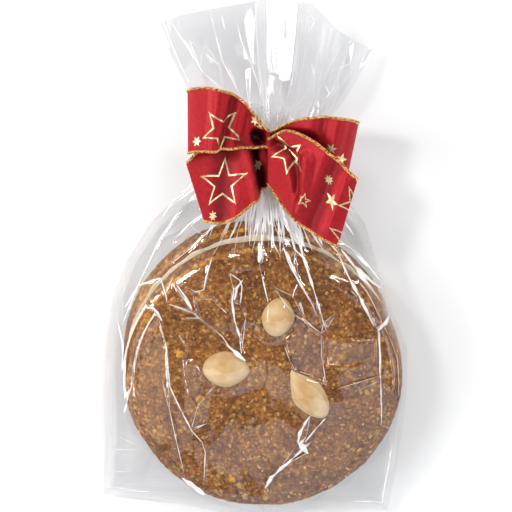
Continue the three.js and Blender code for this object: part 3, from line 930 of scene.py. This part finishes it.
def bag_ridges(net):
    """The main creases, the glints and the net's sharpest folds, as paths for white ridges that are partly
    painted highlights.
    """
    paths = [(0.09 + 0.25 * height ** 1.5, corners) for height, corners in CREASES] + GLINTS
    for a, b, turn in net.edges(SHARP):
        x, y = from_fold_space(*((a + b) / 2))
        beside = math.hypot(x - DISC_X, y - DISC_Y) > DISC_RADIUS + 4
        below_neck = math.hypot(x - FOLDS_MEET_X, y - FOLDS_MEET_Y) > BARE_BELOW_NECK
        if below_neck and (beside or turn > SHARP_ON_STACK):
            corners = [from_fold_space(*mix(a, b, k / 4)) for k in range(5)]
            paths.append((min(0.28, 0.32 * turn), corners))
    return paths


def on_fan(s, t):
    """x and y of a point of the fan's plane."""
    return fan_xy(s / FAN_ACROSS, t / FAN_UP)


def fan_ridges(net):
    """The fan's main creases and its net's sharpest folds, as paths for white ridges that are partly painted
    highlights.
    """
    paths = []
    for height, corners in fold_plane(FAN_FOLDS, fan_xy):
        paths.append((0.15 + 0.12 * height, corners))
    for a, b, turn in net.edges(SHARP_ON_FAN):
        inside = min(a.y, b.y) > 2 and max(a.y, b.y) < 23.5 and max(abs(a.x), abs(b.x)) < 60
        if inside:
            paths.append((min(0.3, 0.3 * turn), [on_fan(*mix(a, b, k / 4)) for k in range(5)]))
    return paths


def make_film(clear, folded):
    """The bag's film in five pieces, and the white ridges, partly painted highlights, on its shown side, its
    pleats and its fan.
    """
    folds = [(FOLD_SHARE * height, corners) for height, corners in fold_plane(CREASES, fold_space)]
    net = FoldNet(21, *FOLDED_FROM_TO, 5.2, looseness, folds)
    back_net = FoldNet(77, *FOLDED_FROM_TO, 6.5, looseness)
    fan_net = FoldNet(32, *FAN_FROM_TO, 5.5, fan_looseness, fold_plane(FAN_FOLDS, fan_plane))
    fan_back_net = FoldNet(30, *FAN_FROM_TO, 5.5, fan_looseness)
    front = piece_from(grid_mesh(238, 400, shown_film(net)), "film_front", clear)
    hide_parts("bag")
    back = piece_from(grid_mesh(120, 170, back_film(back_net)), "film_back", clear)
    fan_front = piece_from(grid_mesh(260, 130, fan_film(1, fan_net)), "film_fan_front", clear)
    fan_back = piece_from(grid_mesh(200, 90, fan_film(-1, fan_back_net)), "film_fan_back", clear)
    for made in (front, back, fan_front, fan_back, make_neck(clear)):
        belongs(made)
    crease_lines("film_creases", front, bag_ridges(net), folded)
    crease_lines("film_gathers", front, gather_paths(), folded)
    crease_lines("film_fan_creases", fan_front, fan_ridges(fan_net), folded)


# ---------------------------------------------------------------------------- the contents
def dough_top(lebkuchen, r):
    share = clamp01(r / lebkuchen["radius"])
    return lebkuchen["base"] + lebkuchen["thick"] * (1 - share ** 6) ** 0.6


DOUGH_RINGS, DOUGH_TURNS = 100, 600
CREST_AT, CREST_HALF_WIDTH = 0.955, 0.014  # the sharp edge of the crust, with a painted highlight, as shares of the radius
# the side whose crest stands up and gets the painted highlight, and how far it stands up, in mm
CREST_HIGHLIGHT_SIDE, CREST_HEIGHT = Vector((-0.3, 0.954, 0)), 0.35


def spun_dough(lebkuchen):
    """A smooth round of dough about the origin, spun from its section."""
    bm = bmesh.new()
    radius, base = lebkuchen["radius"], lebkuchen["base"]
    shares = [math.sin(i / DOUGH_RINGS * math.pi / 2) ** 0.92 for i in range(DOUGH_RINGS + 1)]
    section = [(radius * s, float(dough_top(lebkuchen, radius * s))) for s in shares]
    section += [(radius * 0.99, base), (radius * 0.6, base), (0.0, base)]
    verts = [bm.verts.new((r, 0, z)) for r, z in section]
    edges = [bm.edges.new(pair) for pair in zip(verts, verts[1:])]
    bmesh.ops.spin(bm, geom=verts + edges, cent=(0, 0, 0), axis=(0, 0, 1), angle=2 * math.pi,
                   steps=DOUGH_TURNS, use_merge=True)
    bmesh.ops.remove_doubles(bm, verts=bm.verts, dist=0.002)
    bmesh.ops.recalc_face_normals(bm, faces=bm.faces)
    return bm


def crust_relief(p):
    """Broad swells, lumps and fine grains of the crust at a point, in mm."""
    swell = noise.noise(p * 0.03) * 1.2 + noise.noise(p * 0.09) * 0.5
    lumps = 0.42 - 0.5 * noise.voronoi(p * 0.36)[0][0] + 0.22 - 0.3 * noise.voronoi(p * 0.85)[0][0]
    grain = noise.fractal(p * 0.7, 1.0, 2.0, 3) * 0.45
    return swell, lumps + grain


def make_dough(name, lebkuchen, material):
    """A round of dough, roughened into lumps and grains; its relief tells its material pits from tops and
    where the crest's painted highlight goes.
    """
    bm = spun_dough(lebkuchen)
    relief_and_highlight = bm.verts.layers.float.new("relief_and_highlight")
    shift = Vector((lebkuchen["seed"] * 31.7, lebkuchen["seed"] * 17.3, 0))
    for vert in bm.verts:
        swell, rough = crust_relief(vert.co + shift)
        upper = min(1.0, max(0.0, (vert.co.z - lebkuchen["base"]) / 3.0))
        rim = math.hypot(vert.co.x, vert.co.y) / lebkuchen["radius"]
        out = Vector((vert.co.x, vert.co.y, 0)).normalized() if rim > 1e-4 else Vector()
        crest = math.exp(-((rim - CREST_AT) / CREST_HALF_WIDTH) ** 2) * max(0.0, out.dot(CREST_HIGHLIGHT_SIDE)) * upper
        # pits dark, tops light, and the crest pushed up to the painted highlight
        vert[relief_and_highlight] = mix(0.9 * rough + 0.42, 1.0, min(1.0, 1.3 * crest))
        rise = upper * (rough - 0.1 + 0.3 * swell * (1 - rim ** 4)) + CREST_HEIGHT * crest
        vert.co += Vector((0, 0, rise)) + out * rim ** 8 * (0.8 * swell - 0.6 + 0.5 * rough)
    bmesh.ops.translate(bm, verts=bm.verts, vec=(lebkuchen["x"], lebkuchen["y"], 0))
    belongs(piece_from(bm, name, material))


def make_wafer(name, wafer, material):
    """A thin round with a softened rim that isn't quite round."""
    bm = bmesh.new()
    radius, thick = wafer["radius"], wafer["thick"]
    bmesh.ops.create_cone(bm, cap_ends=True, segments=260, radius1=radius, radius2=radius, depth=thick)
    rims = [e for e in bm.edges if len(e.link_faces) == 2 and any(len(f.verts) > 4 for f in e.link_faces)]
    bmesh.ops.bevel(bm, geom=rims, offset=0.35, segments=2, profile=0.5, affect="EDGES", material=-1)
    for vert in bm.verts:
        outward = Vector((vert.co.x, vert.co.y, 0)).normalized()
        vert.co += outward * (noise.noise(vert.co * 0.12 + Vector((wafer["seed"] * 9.1, 0, 0))) * 1.1 - 0.4)
    bmesh.ops.translate(bm, verts=bm.verts, vec=(wafer["x"], wafer["y"], wafer["base"] + thick / 2))
    belongs(piece_from(bm, name, material, smooth_shaded=False))


def make_almond(almond, material):
    """A blanched almond: an egg drawn out to its tip, with faint ridges along its length."""
    bm = bmesh.new()
    bmesh.ops.create_uvsphere(bm, u_segments=72, v_segments=48, radius=1.0)
    turn = math.radians(almond["turn"])
    ground = float(dough_top(FRONT_DOUGH, math.hypot(almond["x"] - DISC_X, almond["y"] - DISC_Y)))
    for vert in bm.verts:
        a, b, c = vert.co.z, vert.co.x, vert.co.y  # along its length, its width and its height
        narrow = 1 - almond["tip"] * max(0.0, a) ** 1.6 - 0.08 * max(0.0, -a) ** 2
        ridges = 1 + almond["ridges"] * math.sin(9 * math.atan2(c, b) + 2 * a) * (1 - a * a)
        dent = 1 + 0.05 * noise.noise(Vector((a, b, c)) * 1.7 + Vector((almond["x"], 0, 0)))
        ahead = almond["long"] * a
        across = almond["wide"] * b * narrow * ridges * dent
        up = ALMOND_HALF_HEIGHT * c * narrow ** 0.5 * ridges
        vert.co = Vector((
            almond["x"] + ahead * math.cos(turn) - across * math.sin(turn),
            almond["y"] + ahead * math.sin(turn) + across * math.cos(turn),
            ground + ALMOND_RISE - ALMOND_HALF_HEIGHT + up,
        ))
    bmesh.ops.recalc_face_normals(bm, faces=bm.faces)
    belongs(piece_from(bm, almond["name"], material))


PEEL_SPOTS = [
    (-5.9, -93.9), (-9.4, -90.6), (-3.7, -100), (37, 4.5), (35.5, 1.5), (-31.5, -32.2), (-23.1, -52.8),
]
BIT_FLATNESS, BIT_SINKS = 0.6, 0.05  # a bit's height for its size, and how deep its middle sits, in mm


def make_bits(name, count, size, material, seed, spots=()):
    """Chopped bits that lie in the surface of the upper lebkuchen, the largest at given spots."""
    draw = random.Random(seed)
    bm = bmesh.new()
    for number in range(count):
        angle = draw.uniform(0, 2 * math.pi)
        r = FRONT_DOUGH["radius"] * 0.95 * math.sqrt(draw.random())
        x, y = FRONT_DOUGH["x"] + r * math.cos(angle), FRONT_DOUGH["y"] + r * math.sin(angle)
        if number < len(spots):
            x, y = spots[number]
            r = math.hypot(x - FRONT_DOUGH["x"], y - FRONT_DOUGH["y"])
        if any(math.hypot(x - a["x"], y - a["y"]) < a["wide"] + 0.5 for a in ALMONDS):
            continue
        z = float(dough_top(FRONT_DOUGH, r)) - BIT_SINKS
        made = bmesh.ops.create_icosphere(bm, subdivisions=2, radius=1.0)["verts"]
        s = size[1] * 1.5 if number < len(spots) else mix(size[0], size[1], draw.random() ** 2)
        stretch = (s * draw.uniform(0.7, 1.4), s * draw.uniform(0.5, 1.0), s * BIT_FLATNESS)
        spin = draw.uniform(0, math.pi)
        for vert in made:
            lumpy = vert.co * (1 + 0.35 * noise.noise(vert.co * 1.6 + Vector((x, y, 0))))
            a, b, up = (c * by for c, by in zip(lumpy, stretch))
            vert.co = Vector((
                x + a * math.cos(spin) - b * math.sin(spin),
                y + a * math.sin(spin) + b * math.cos(spin),
                z + up,
            ))
    belongs(piece_from(bm, name, material))


# ------------------------------------------------------------------------------ the ribbon
RIBBON_WIDTH = 26.0
STRIPS = {  # stations along each strip: a point of its upper edge and one of its lower edge
    "bow_loop_left": [
        ((6.6, 64.5, 28.2), (6.6, 57.4, 27.6)),
        ((-1, 73.5, 32), (-3, 58.2, 32.5)),
        ((-5.5, 79.5, 36.5), (-9.5, 58.4, 36)),
        ((-11.5, 83, 39.5), (-15.6, 58, 38.4)),
        ((-19.5, 84, 37.6), (-20.5, 57.5, 36.8)),
        ((-25, 83, 34.8), (-25.3, 56.8, 34.2)),
        ((-26.8, 82, 33), (-27, 56.2, 32.8)),
        ((-24, 80.5, 29.6), (-24, 56.3, 29.8)),
        ((-13, 76.5, 26.4), (-13, 57, 27)),
        ((-5, 69.5, 23.6), (-5, 57.8, 24.4)),
        ((5.9, 62, 22.4), (5.9, 59, 22.6)),
    ],
    "bow_loop_right": [
        ((6.9, 63.2, 26), (6.9, 57, 25.4)),
        ((13.2, 67.4, 30), (14, 52, 29.5)),
        ((19.3, 70.2, 33.5), (20.5, 47.5, 32.5)),
        ((30.5, 71.6, 36), (29.5, 45.5, 34.5)),
        ((38.5, 70.8, 35.5), (35, 44.6, 34)),
        ((43, 69, 32.8), (38.4, 43.8, 31.5)),
        ((43.6, 68.3, 29), (39, 43.4, 28.5)),
        ((40, 68.5, 25.5), (36, 43.8, 25.4)),
        ((28, 68.5, 22.5), (26, 45.5, 22.6)),
        ((18, 65, 21.2), (18, 50, 21.4)),
        ((11.5, 60, 21.8), (11.5, 54, 21.8)),
    ],
    "bow_tail_left": [
        ((6.7, 58.5, 24.6), (6.5, 40, 24.8)),
        ((0, 60, 24.8), (2, 35.8, 28)),
        ((-7, 60, 25.4), (-3.2, 31.7, 31.5)),
        ((-14, 59, 26.4), (-8.5, 28.4, 34.5)),
        ((-21, 57, 28), (-14.5, 27, 35.8)),
        ((-28, 51.4, 31), (-20.6, 27.8, 36)),
    ],
    "bow_tail_right": [
        ((6.1, 61, 28.6), (6.0, 42, 26.2)),
        ((14, 65.6, 34), (10, 36.5, 29)),
        ((24, 62.6, 38.8), (15.6, 29.5, 32.5)),
        ((33.5, 55.2, 40.8), (23.5, 23.4, 35.5)),
        ((43, 46.5, 41), (35.4, 17.2, 38)),
    ],
}


def spline(points, t):
    """Centripetal Catmull-Rom through the points, t from 0 to 1 over all of them."""
    points = [np.array(p, float) for p in points]
    points = [2 * points[0] - points[1], *points, 2 * points[-1] - points[-2]]
    spans = len(points) - 3
    at = min(max(t, 0.0), 1.0) * spans
    i = min(int(at), spans - 1)
    p = points[i:i + 4]
    knots = [0.0]
    for a, b in zip(p, p[1:]):
        knots.append(knots[-1] + max(np.linalg.norm(b - a), 1e-6) ** 0.5)
    k = mix(knots[1], knots[2], at - i)

    def between(a, b, low, high):
        return (a * (knots[high] - k) + b * (k - knots[low])) / (knots[high] - knots[low])

    a1, a2, a3 = (between(p[j], p[j + 1], j, j + 1) for j in range(3))
    b1, b2 = between(a1, a2, 0, 2), between(a2, a3, 1, 3)
    return between(b1, b2, 1, 2)


PLEATS = {  # soft folds: ends as (along, across), half width and height, in mm; below 0 is a valley
    "bow_loop_left": [
        ((0, -1), (5, -1.5), 5.6, -5.6),
        ((2, 7), (12, 8), 3.0, 1.0),
        ((10, -7), (14, -7), 4.0, -1.5),
        ((20, 12), (22, -12), 3.4, -2.0),
        ((27, 12), (27, -12), 4.5, 1.4),
        ((15, 12), (16, -4), 3.5, 1.1),
    ],
    "bow_loop_right": [
        ((4, 2), (18, 3), 5.0, -2.8),
        ((30, 12), (27, -12), 4.5, 1.6),
        ((24, 12), (22, -12), 4.0, -1.2),
    ],
    "bow_tail_left": [
        ((1.5, -10), (3.5, 9), 5.8, -5.0),
        ((9.5, 10), (7.5, -13), 2.8, 2.4),
        ((17, 14), (24, -13), 7.5, -2.2),
    ],
    "bow_tail_right": [
        ((0, 8), (12, 6), 3.4, -3.0),
        ((12, 4), (18, -6), 3.8, -2.2),
        ((18, 9), (21, -13), 4.0, 2.4),
        ((30, 14), (29, -14), 6.0, -1.8),
        ((37, 12), (36, -12), 4.0, 1.0),
    ],
}
FACING = {"bow_loop_left": -1, "bow_loop_right": 1, "bow_tail_left": -1, "bow_tail_right": 1}


class Strip:
    """A ribbon strip between its two edge curves; across is in mm from the middle, up to its width."""

    def __init__(self, name):
        stations = STRIPS[name]
        upper, lower = ([station[k] for station in stations] for k in (0, 1))
        samples = 240
        self.table = [(spline(upper, i / samples), spline(lower, i / samples)) for i in range(samples + 1)]
        middle = [(a + b) / 2 for a, b in self.table]
        self.run = [0.0]
        for a, b in zip(middle, middle[1:]):
            self.run.append(self.run[-1] + float(np.linalg.norm(b - a)))
        self.length = self.run[-1]
        self.pleats, self.facing = PLEATS[name], FACING[name]

    def ends(self, s):
        """Upper and lower edge points at a distance s along the middle."""
        t = float(np.interp(s, self.run, range(len(self.run))))
        i = min(int(t), len(self.table) - 2)
        return tuple(mix(self.table[i][k], self.table[i + 1][k], t - i) for k in (0, 1))

    def fold_height(self, s, a):
        height = 0.0
        for (s0, a0), (s1, a1), half_width, tall in self.pleats:
            ds, da = s1 - s0, a1 - a0
            share = min(1.0, max(0.0, ((s - s0) * ds + (a - a0) * da) / (ds * ds + da * da)))
            away = math.hypot(s - s0 - share * ds, a - a0 - share * da) / half_width
            if away < 1:
                height += tall * (1 - away * away) ** 2
        return height * min(1.0, s / 2.0, (self.length - s) / 2.0)

    def point(self, s, share, lift=0.0):
        """The point a share of the half width (-1 lower edge, 1 upper) across, lifted off the cloth."""
        top, bottom = self.ends(s)
        here = mix(bottom, top, (share + 1) / 2)
        a = sum(self.ends(max(0.0, s - 0.4))) / 2
        b = sum(self.ends(min(self.length, s + 0.4))) / 2
        normal = np.cross(b - a, top - bottom) * self.facing
        width = float(np.linalg.norm(top - bottom))
        return here + normal / np.linalg.norm(normal) * (self.fold_height(s, share * width / 2) + lift)

    def half_width(self, s):
        top, bottom = self.ends(s)
        return float(np.linalg.norm(top - bottom)) / 2


CLOTH_COLUMNS, CLOTH_STEP, CLOTH_THICKNESS = 44, 0.7, 0.28  # faces across, their length and the cloth, in mm
UV_PER_METRE = 10
DARKEST_FOLD = 4.4  # the depth, in mm, at which a fold's painted shade is darkest


def make_strip(node, strip, material):
    """A strip's cloth, with its folds' depth for the material's painted shade and its lie along the threads
    as UVs.
    """
    rows = max(24, int(strip.length / CLOTH_STEP))

    def place(u, v):
        return np.array([strip.point(b * strip.length, a) for a, b in zip(u, v)])

    bm = grid_mesh(CLOTH_COLUMNS, rows, place)
    uv = bm.loops.layers.uv.new("cloth")
    depth = bm.verts.layers.float.new("painted_fold_shade")
    bm.verts.ensure_lookup_table()
    for vert in bm.verts:
        row, column = divmod(vert.index, CLOTH_COLUMNS + 1)
        s, share = row / rows * strip.length, 2 * column / CLOTH_COLUMNS - 1
        # how deep the fold is here, which the material paints as shade
        vert[depth] = max(0.0, -strip.fold_height(s, share * strip.half_width(s)) / DARKEST_FOLD)
        flat = Vector((column / CLOTH_COLUMNS * RIBBON_WIDTH, s)) * MM * UV_PER_METRE
        for loop in vert.link_loops:
            loop[uv].uv = flat
    made = piece_from(bm, node + "_cloth", material)
    thick = made.modifiers.new("cloth_thickness", "SOLIDIFY")
    thick.thickness = CLOTH_THICKNESS * MM
    thick.offset = 0.0
    belongs(made)
    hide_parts(node)
    return made


def beside(path, i, turn, reach):
    """The point that is a turn round a path at its point i, and a reach away from it."""
    ahead = path[min(i + 1, len(path) - 1)] - path[max(i - 1, 0)]
    side = ahead.cross(Vector((0.3, 0.2, 1))).normalized()
    up = side.cross(ahead).normalized()
    return path[i] + (side * math.cos(turn) + up * math.sin(turn)) * reach


def tube(bm, path, radius, sides=6):
    """A closed tube along a path of points."""
    rings = []
    for i in range(len(path)):
        rings.append([bm.verts.new(beside(path, i, 2 * math.pi * k / sides, radius)) for k in range(sides)])
    for a, b in zip(rings, rings[1:]):
        for k in range(sides):
            bm.faces.new((a[k], a[(k + 1) % sides], b[(k + 1) % sides], b[k]))
    bm.faces.new(rings[0])
    bm.faces.new(list(reversed(rings[-1])))


THREAD_RADIUS, THREAD_STEP = 0.34, 0.22  # in mm, as are the twist's
TWIST_RADIUS, TWIST_PITCH = 0.40, 1.7


def make_edging(name, strip, material):
    """Gold thread twisted round the wire in both edges of a strip."""
    bm = bmesh.new()
    steps = int(strip.length / THREAD_STEP)
    for across in (-1, 1):
        edge = [Vector(strip.point(strip.length * i / steps, across)) for i in range(steps + 1)]
        for strand in (0, 1):
            turns = [2 * math.pi * strip.length * i / steps / TWIST_PITCH for i in range(steps + 1)]
            path = [beside(edge, i, turn + strand * math.pi, TWIST_RADIUS) for i, turn in enumerate(turns)]
            tube(bm, path, THREAD_RADIUS)
    bmesh.ops.recalc_face_normals(bm, faces=bm.faces)
    return belongs(piece_from(bm, name, material))


def star_corners(points, outer, inner, turn):
    """The corners of a star round the origin, from its first point."""
    corners = []
    for k in range(2 * points):
        reach = inner if k % 2 else outer
        angle = turn + math.pi * k / points
        corners.append((reach * math.cos(angle), reach * math.sin(angle)))
    return corners


def star_quads(points, outer, inner, turn, line):
    """A star as quads: filled from its middle, or a line of some width inside its outline."""
    rim = star_corners(points, outer, inner, turn)
    after = rim[1:] + rim[:1]
    if line:
        hollow = star_corners(points, outer - line * 2.2, inner - line * 1.1, turn)
        return list(zip(rim, after, hollow[1:] + hollow[:1], hollow))
    return [(rim[k - 1], rim[k], after[k], (0.0, 0.0)) for k in range(0, len(rim), 2)]


FOIL_LIFT = 0.24  # how far the foil is off the middle of the cloth, in mm


def add_star(bm, strip, s, across_mm, points, outer, inner, turn, line):
    """A foil star that follows a strip's folds, at a distance along it and a place across it."""
    cuts = max(2, int(outer / 0.9))

    def on_cloth(p):
        run = min(max(s + p[0], 0.0), strip.length)
        across = min(max((across_mm + p[1]) / strip.half_width(run), -0.95), 0.95)
        return Vector(strip.point(run, across, FOIL_LIFT))

    for a, b, c, d in star_quads(points, outer, inner, math.radians(turn), line):
        grid = [[None] * (cuts + 1) for _ in range(cuts + 1)]
        for i in range(cuts + 1):
            for j in range(cuts + 1):
                f, g = i / cuts, j / cuts
                p = [mix(mix(a[k], b[k], f), mix(d[k], c[k], f), g) for k in (0, 1)]
                grid[i][j] = bm.verts.new(on_cloth(p))
        for i in range(cuts):
            for j in range(cuts):
                bm.faces.new((grid[i][j], grid[i + 1][j], grid[i + 1][j + 1], grid[i][j + 1]))


# Stars: distance along the strip, place across it, points, outer and inner radius, turn in
# degrees and the width of the line of an outlined star.
STARS = {
    "bow_loop_left": [
        (23.4, -3.7, 5, 10.0, 4.1, 48.5, 0.75),
        (35.2, -8.8, 6, 2.3, 1.0, 0, None),
        (8.1, 5.0, 6, 2.6, 1.1, 20, None),
        (4.9, 3.1, 6, 2.2, 1.0, 0, None),
        (45, 5, 5, 3.2, 1.3, 10, 0.45),
        (52, -4, 5, 9.5, 4.0, 30, 0.75),
        (61, 7, 6, 2.4, 1.1, 0, None),
        (66, -4, 5, 2.7, 1.1, 0, None),
    ],
    "bow_loop_right": [
        (27.5, 0.4, 6, 2.4, 1.0, 10, None),
        (32.6, -3.8, 5, 2.8, 1.1, 80, None),
        (16, -4, 5, 8.6, 3.6, 20, 0.75),
        (45, 6, 5, 3.2, 1.3, 10, 0.45),
        (54, -2, 5, 9.5, 4.0, 30, 0.75),
        (64, 3, 6, 2.4, 1.1, 0, None),
    ],
    "bow_tail_left": [
        (20.8, -0.6, 5, 10.9, 4.4, 33.5, 0.75),
        (3.6, 0.8, 6, 2.9, 1.3, 10, None),
        (28.4, -12.2, 7, 2.3, 1.1, 0, None),
    ],
    "bow_tail_right": [
        (9.6, 5.6, 5, 8.6, 3.5, 60, 0.7),
        (22.0, -6.6, 5, 3.3, 1.3, 95, 0.5),
        (33.6, 0.6, 5, 3.4, 1.35, 85, None),
        (29.3, 7.2, 8, 2.2, 1.1, 10, None),
        (44.5, 4.5, 5, 8.6, 3.5, 60, 0.75),
        (44.5, -10.5, 5, 8.6, 3.5, 30, 0.75),
    ],
}


def make_stars(name, strip, stars, material):
    bm = bmesh.new()
    for star in stars:
        add_star(bm, strip, *star)
    bmesh.ops.remove_doubles(bm, verts=bm.verts, dist=0.004)
    return belongs(piece_from(bm, name, material))


BAND_Y, BAND_RADIUS, BAND_HALF_WIDTH = 53.0, 7.45, 2.9
BAND_HALF_THICKNESS, BAND_RIBS = 0.7, 0.175


def make_band(material):
    """The ribbon gathered round the neck: a ring with lengthwise ribs."""
    bm = bmesh.new()
    bmesh.ops.create_grid(bm, x_segments=160, y_segments=40, size=1.0)
    for vert in bm.verts:
        angle, across = vert.co.x * math.pi, vert.co.y * math.pi
        thick = BAND_HALF_THICKNESS + BAND_RIBS * math.sin(across * 5 + 0.6 * math.sin(angle * 2))
        r = BAND_RADIUS + thick * math.cos(across)
        y = BAND_Y + BAND_HALF_WIDTH * math.sin(across)
        vert.co = Vector((NECK_X + r * math.cos(angle), y, NECK_Z + r * math.sin(angle)))
    bmesh.ops.remove_doubles(bm, verts=bm.verts, dist=0.01)
    bmesh.ops.recalc_face_normals(bm, faces=bm.faces)
    made = belongs(piece_from(bm, "band_gathers", material))
    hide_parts("ribbon_band")


KNOT_SHARE, KNOT_PLEATS = 0.97, 0.05  # the wrap's size in the solid knot's box, and how high its pleats are


def make_knot(material):
    """The wrap over the knot: an egg in the solid knot's box, with fine pleats."""
    low, high = (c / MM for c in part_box("bow_knot"))
    middle, half = (low + high) / 2, (high - low) / 2 * KNOT_SHARE
    bm = bmesh.new()
    bmesh.ops.create_uvsphere(bm, u_segments=64, v_segments=40, radius=1.0)
    for vert in bm.verts:
        x, y, z = vert.co
        pleats = 1 + KNOT_PLEATS * math.sin(14 * x + 1.5 * y)
        vert.co = Vector((middle[k] + half[k] * c for k, c in enumerate((x, y, z * pleats))))
    made = belongs(piece_from(bm, "knot_wrap", material))
    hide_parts("bow_knot")


# ------------------------------------------------------------------- stage, lights, camera
LIGHTS_AIM = Vector((0.0, -0.03, 0.02))
LIGHTS = [  # name, place and size in metres, radiance and colour
    ("softbox_front", (0.36, -0.77, 0.96), (0.95, 0.98), 0.78, (0.84, 0.95, 1.08)),
    ("softbox_left", (-0.54, -0.5, 1.0), (0.5, 0.7), 0.9, (1.0, 0.95, 0.93)),
    ("key", (-0.65, 0.45, 0.85), (0.17, 0.17), 50.0, (1, 1, 1)),
    ("strip_right", (0.85, 0.0, 0.6), (0.9, 0.18), 5.0, (1, 1, 1)),
    ("strip_left", (-0.85, -0.05, 0.6), (0.9, 0.24), 8.5, (1, 1, 1)),
    ("strip_top", (0.1, 0.9, 0.8), (0.9, 0.08), 14.0, (1, 1, 1)),
    ("strip_near", (0.62, 0.42, 0.85), (0.06, 0.8), 16.0, (1, 1, 1)),
]


def make_light(name, place, size, radiance, colour):
    data = bpy.data.lights.new(name, "AREA")
    data.shape = "RECTANGLE"
    data.size, data.size_y = size
    data.energy = radiance * math.pi * size[0] * size[1]
    data.color = colour
    lamp = bpy.data.objects.new(name, data)
    lamp.location = place
    lamp.rotation_mode = "QUATERNION"
    lamp.rotation_quaternion = (LIGHTS_AIM - Vector(place)).to_track_quat("-Z", "Y")
    bpy.context.scene.collection.objects.link(lamp)


OVERHEAD_GLOW, HORIZON_GLOW, GLOW_ENDS_AT = 0.15, 1.3, 0.75


def make_world():
    """Soft light from all around, dim overhead and bright near the floor."""
    world = bpy.data.worlds.new("studio")
    world.use_nodes = True
    nodes, links = world.node_tree.nodes, world.node_tree.links
    direction = nodes.new("ShaderNodeTexCoord").outputs["Generated"]
    parts = nodes.new("ShaderNodeSeparateXYZ")
    glow = nodes.new("ShaderNodeMapRange")
    set_sockets(glow, {"From_Min": 0.0, "From_Max": GLOW_ENDS_AT})
    set_sockets(glow, {"To_Min": HORIZON_GLOW, "To_Max": OVERHEAD_GLOW})
    links.new(direction, parts.inputs[0])
    links.new(parts.outputs["Z"], glow.inputs["Value"])
    links.new(glow.outputs["Result"], nodes["Background"].inputs["Strength"])
    nodes["Background"].inputs["Color"].default_value = (1, 1, 1, 1)
    return world


def make_stage():
    """A wide pale floor just under the bag, the studio's glow and its lights."""
    scene = bpy.context.scene
    scene.view_settings.view_transform = "Standard"
    scene.view_settings.look = "None"
    bm = bmesh.new()
    bmesh.ops.create_grid(bm, x_segments=1, y_segments=1, size=1500)
    bmesh.ops.translate(bm, verts=bm.verts, vec=(0, 0, -0.1))
    grey = (0.86, 0.86, 0.86, 1)
    pale = principled("pale_floor", Base_Color=grey, Roughness=0.9, Specular_IOR_Level=0.1)[0]
    piece_from(bm, "floor", pale)
    scene.world = make_world()
    for light in LIGHTS:
        make_light(*light)


CAMERA_TARGET, CAMERA_DISTANCE, CAMERA_TILT = Vector((1.2, 7.1, 15.0)) * MM, 0.65, math.radians(15)


def make_camera():
    """Looks down on the bag from its neck's side, with a long lens."""
    data = bpy.data.cameras.new("camera")
    data.lens = 105
    data.sensor_width = 36
    camera = bpy.data.objects.new("camera", data)
    back = Vector((0, math.sin(CAMERA_TILT), math.cos(CAMERA_TILT)))
    camera.location = CAMERA_TARGET + back * CAMERA_DISTANCE
    camera.rotation_euler = (-CAMERA_TILT, 0, 0)
    bpy.context.scene.collection.objects.link(camera)
    bpy.context.scene.camera = camera


make_camera()
make_stage()

make_film(film_material(), ridge_material())
make_bunch(bunched_material())
dough = dough_material()
make_dough("lebkuchen_front", FRONT_DOUGH, dough)
make_dough("lebkuchen_rear", REAR_DOUGH, dough)
wafer = wafer_material()
make_wafer("wafer_front", FRONT_WAFER, wafer)
make_wafer("wafer_rear", REAR_WAFER, wafer)
almond_skin = almond_material()
for almond in ALMONDS:
    make_almond(almond, almond_skin)
nut, peel = bits_material("nut", (0.52, 0.29, 0.10)), bits_material("candied_peel", (0.50, 0.24, 0.02), 0.3)
make_bits("nut_bits", 700, (0.3, 1.0), nut, 41)
make_bits("peel_bits", 110, (0.5, 1.5), peel, 42, spots=PEEL_SPOTS)

cloth = ribbon_material()
thread = gold_material("gold_thread", (0.95, 0.56, 0.20), (0.20, 0.055, 0.012), 0.3)
foil = gold_material("gold_foil", (0.80, 0.67, 0.40), (0.50, 0.39, 0.19), 0.32)
for name in STRIPS:
    strip = Strip(name)
    ribbon = make_strip(name, strip, cloth)
    edging = make_edging(name + "_edging", strip, thread)
    stars = make_stars(name + "_stars", strip, STARS[name], foil)
    held = "laid" if "tail" in name else "gathered"
make_band(cloth)
make_knot(cloth)
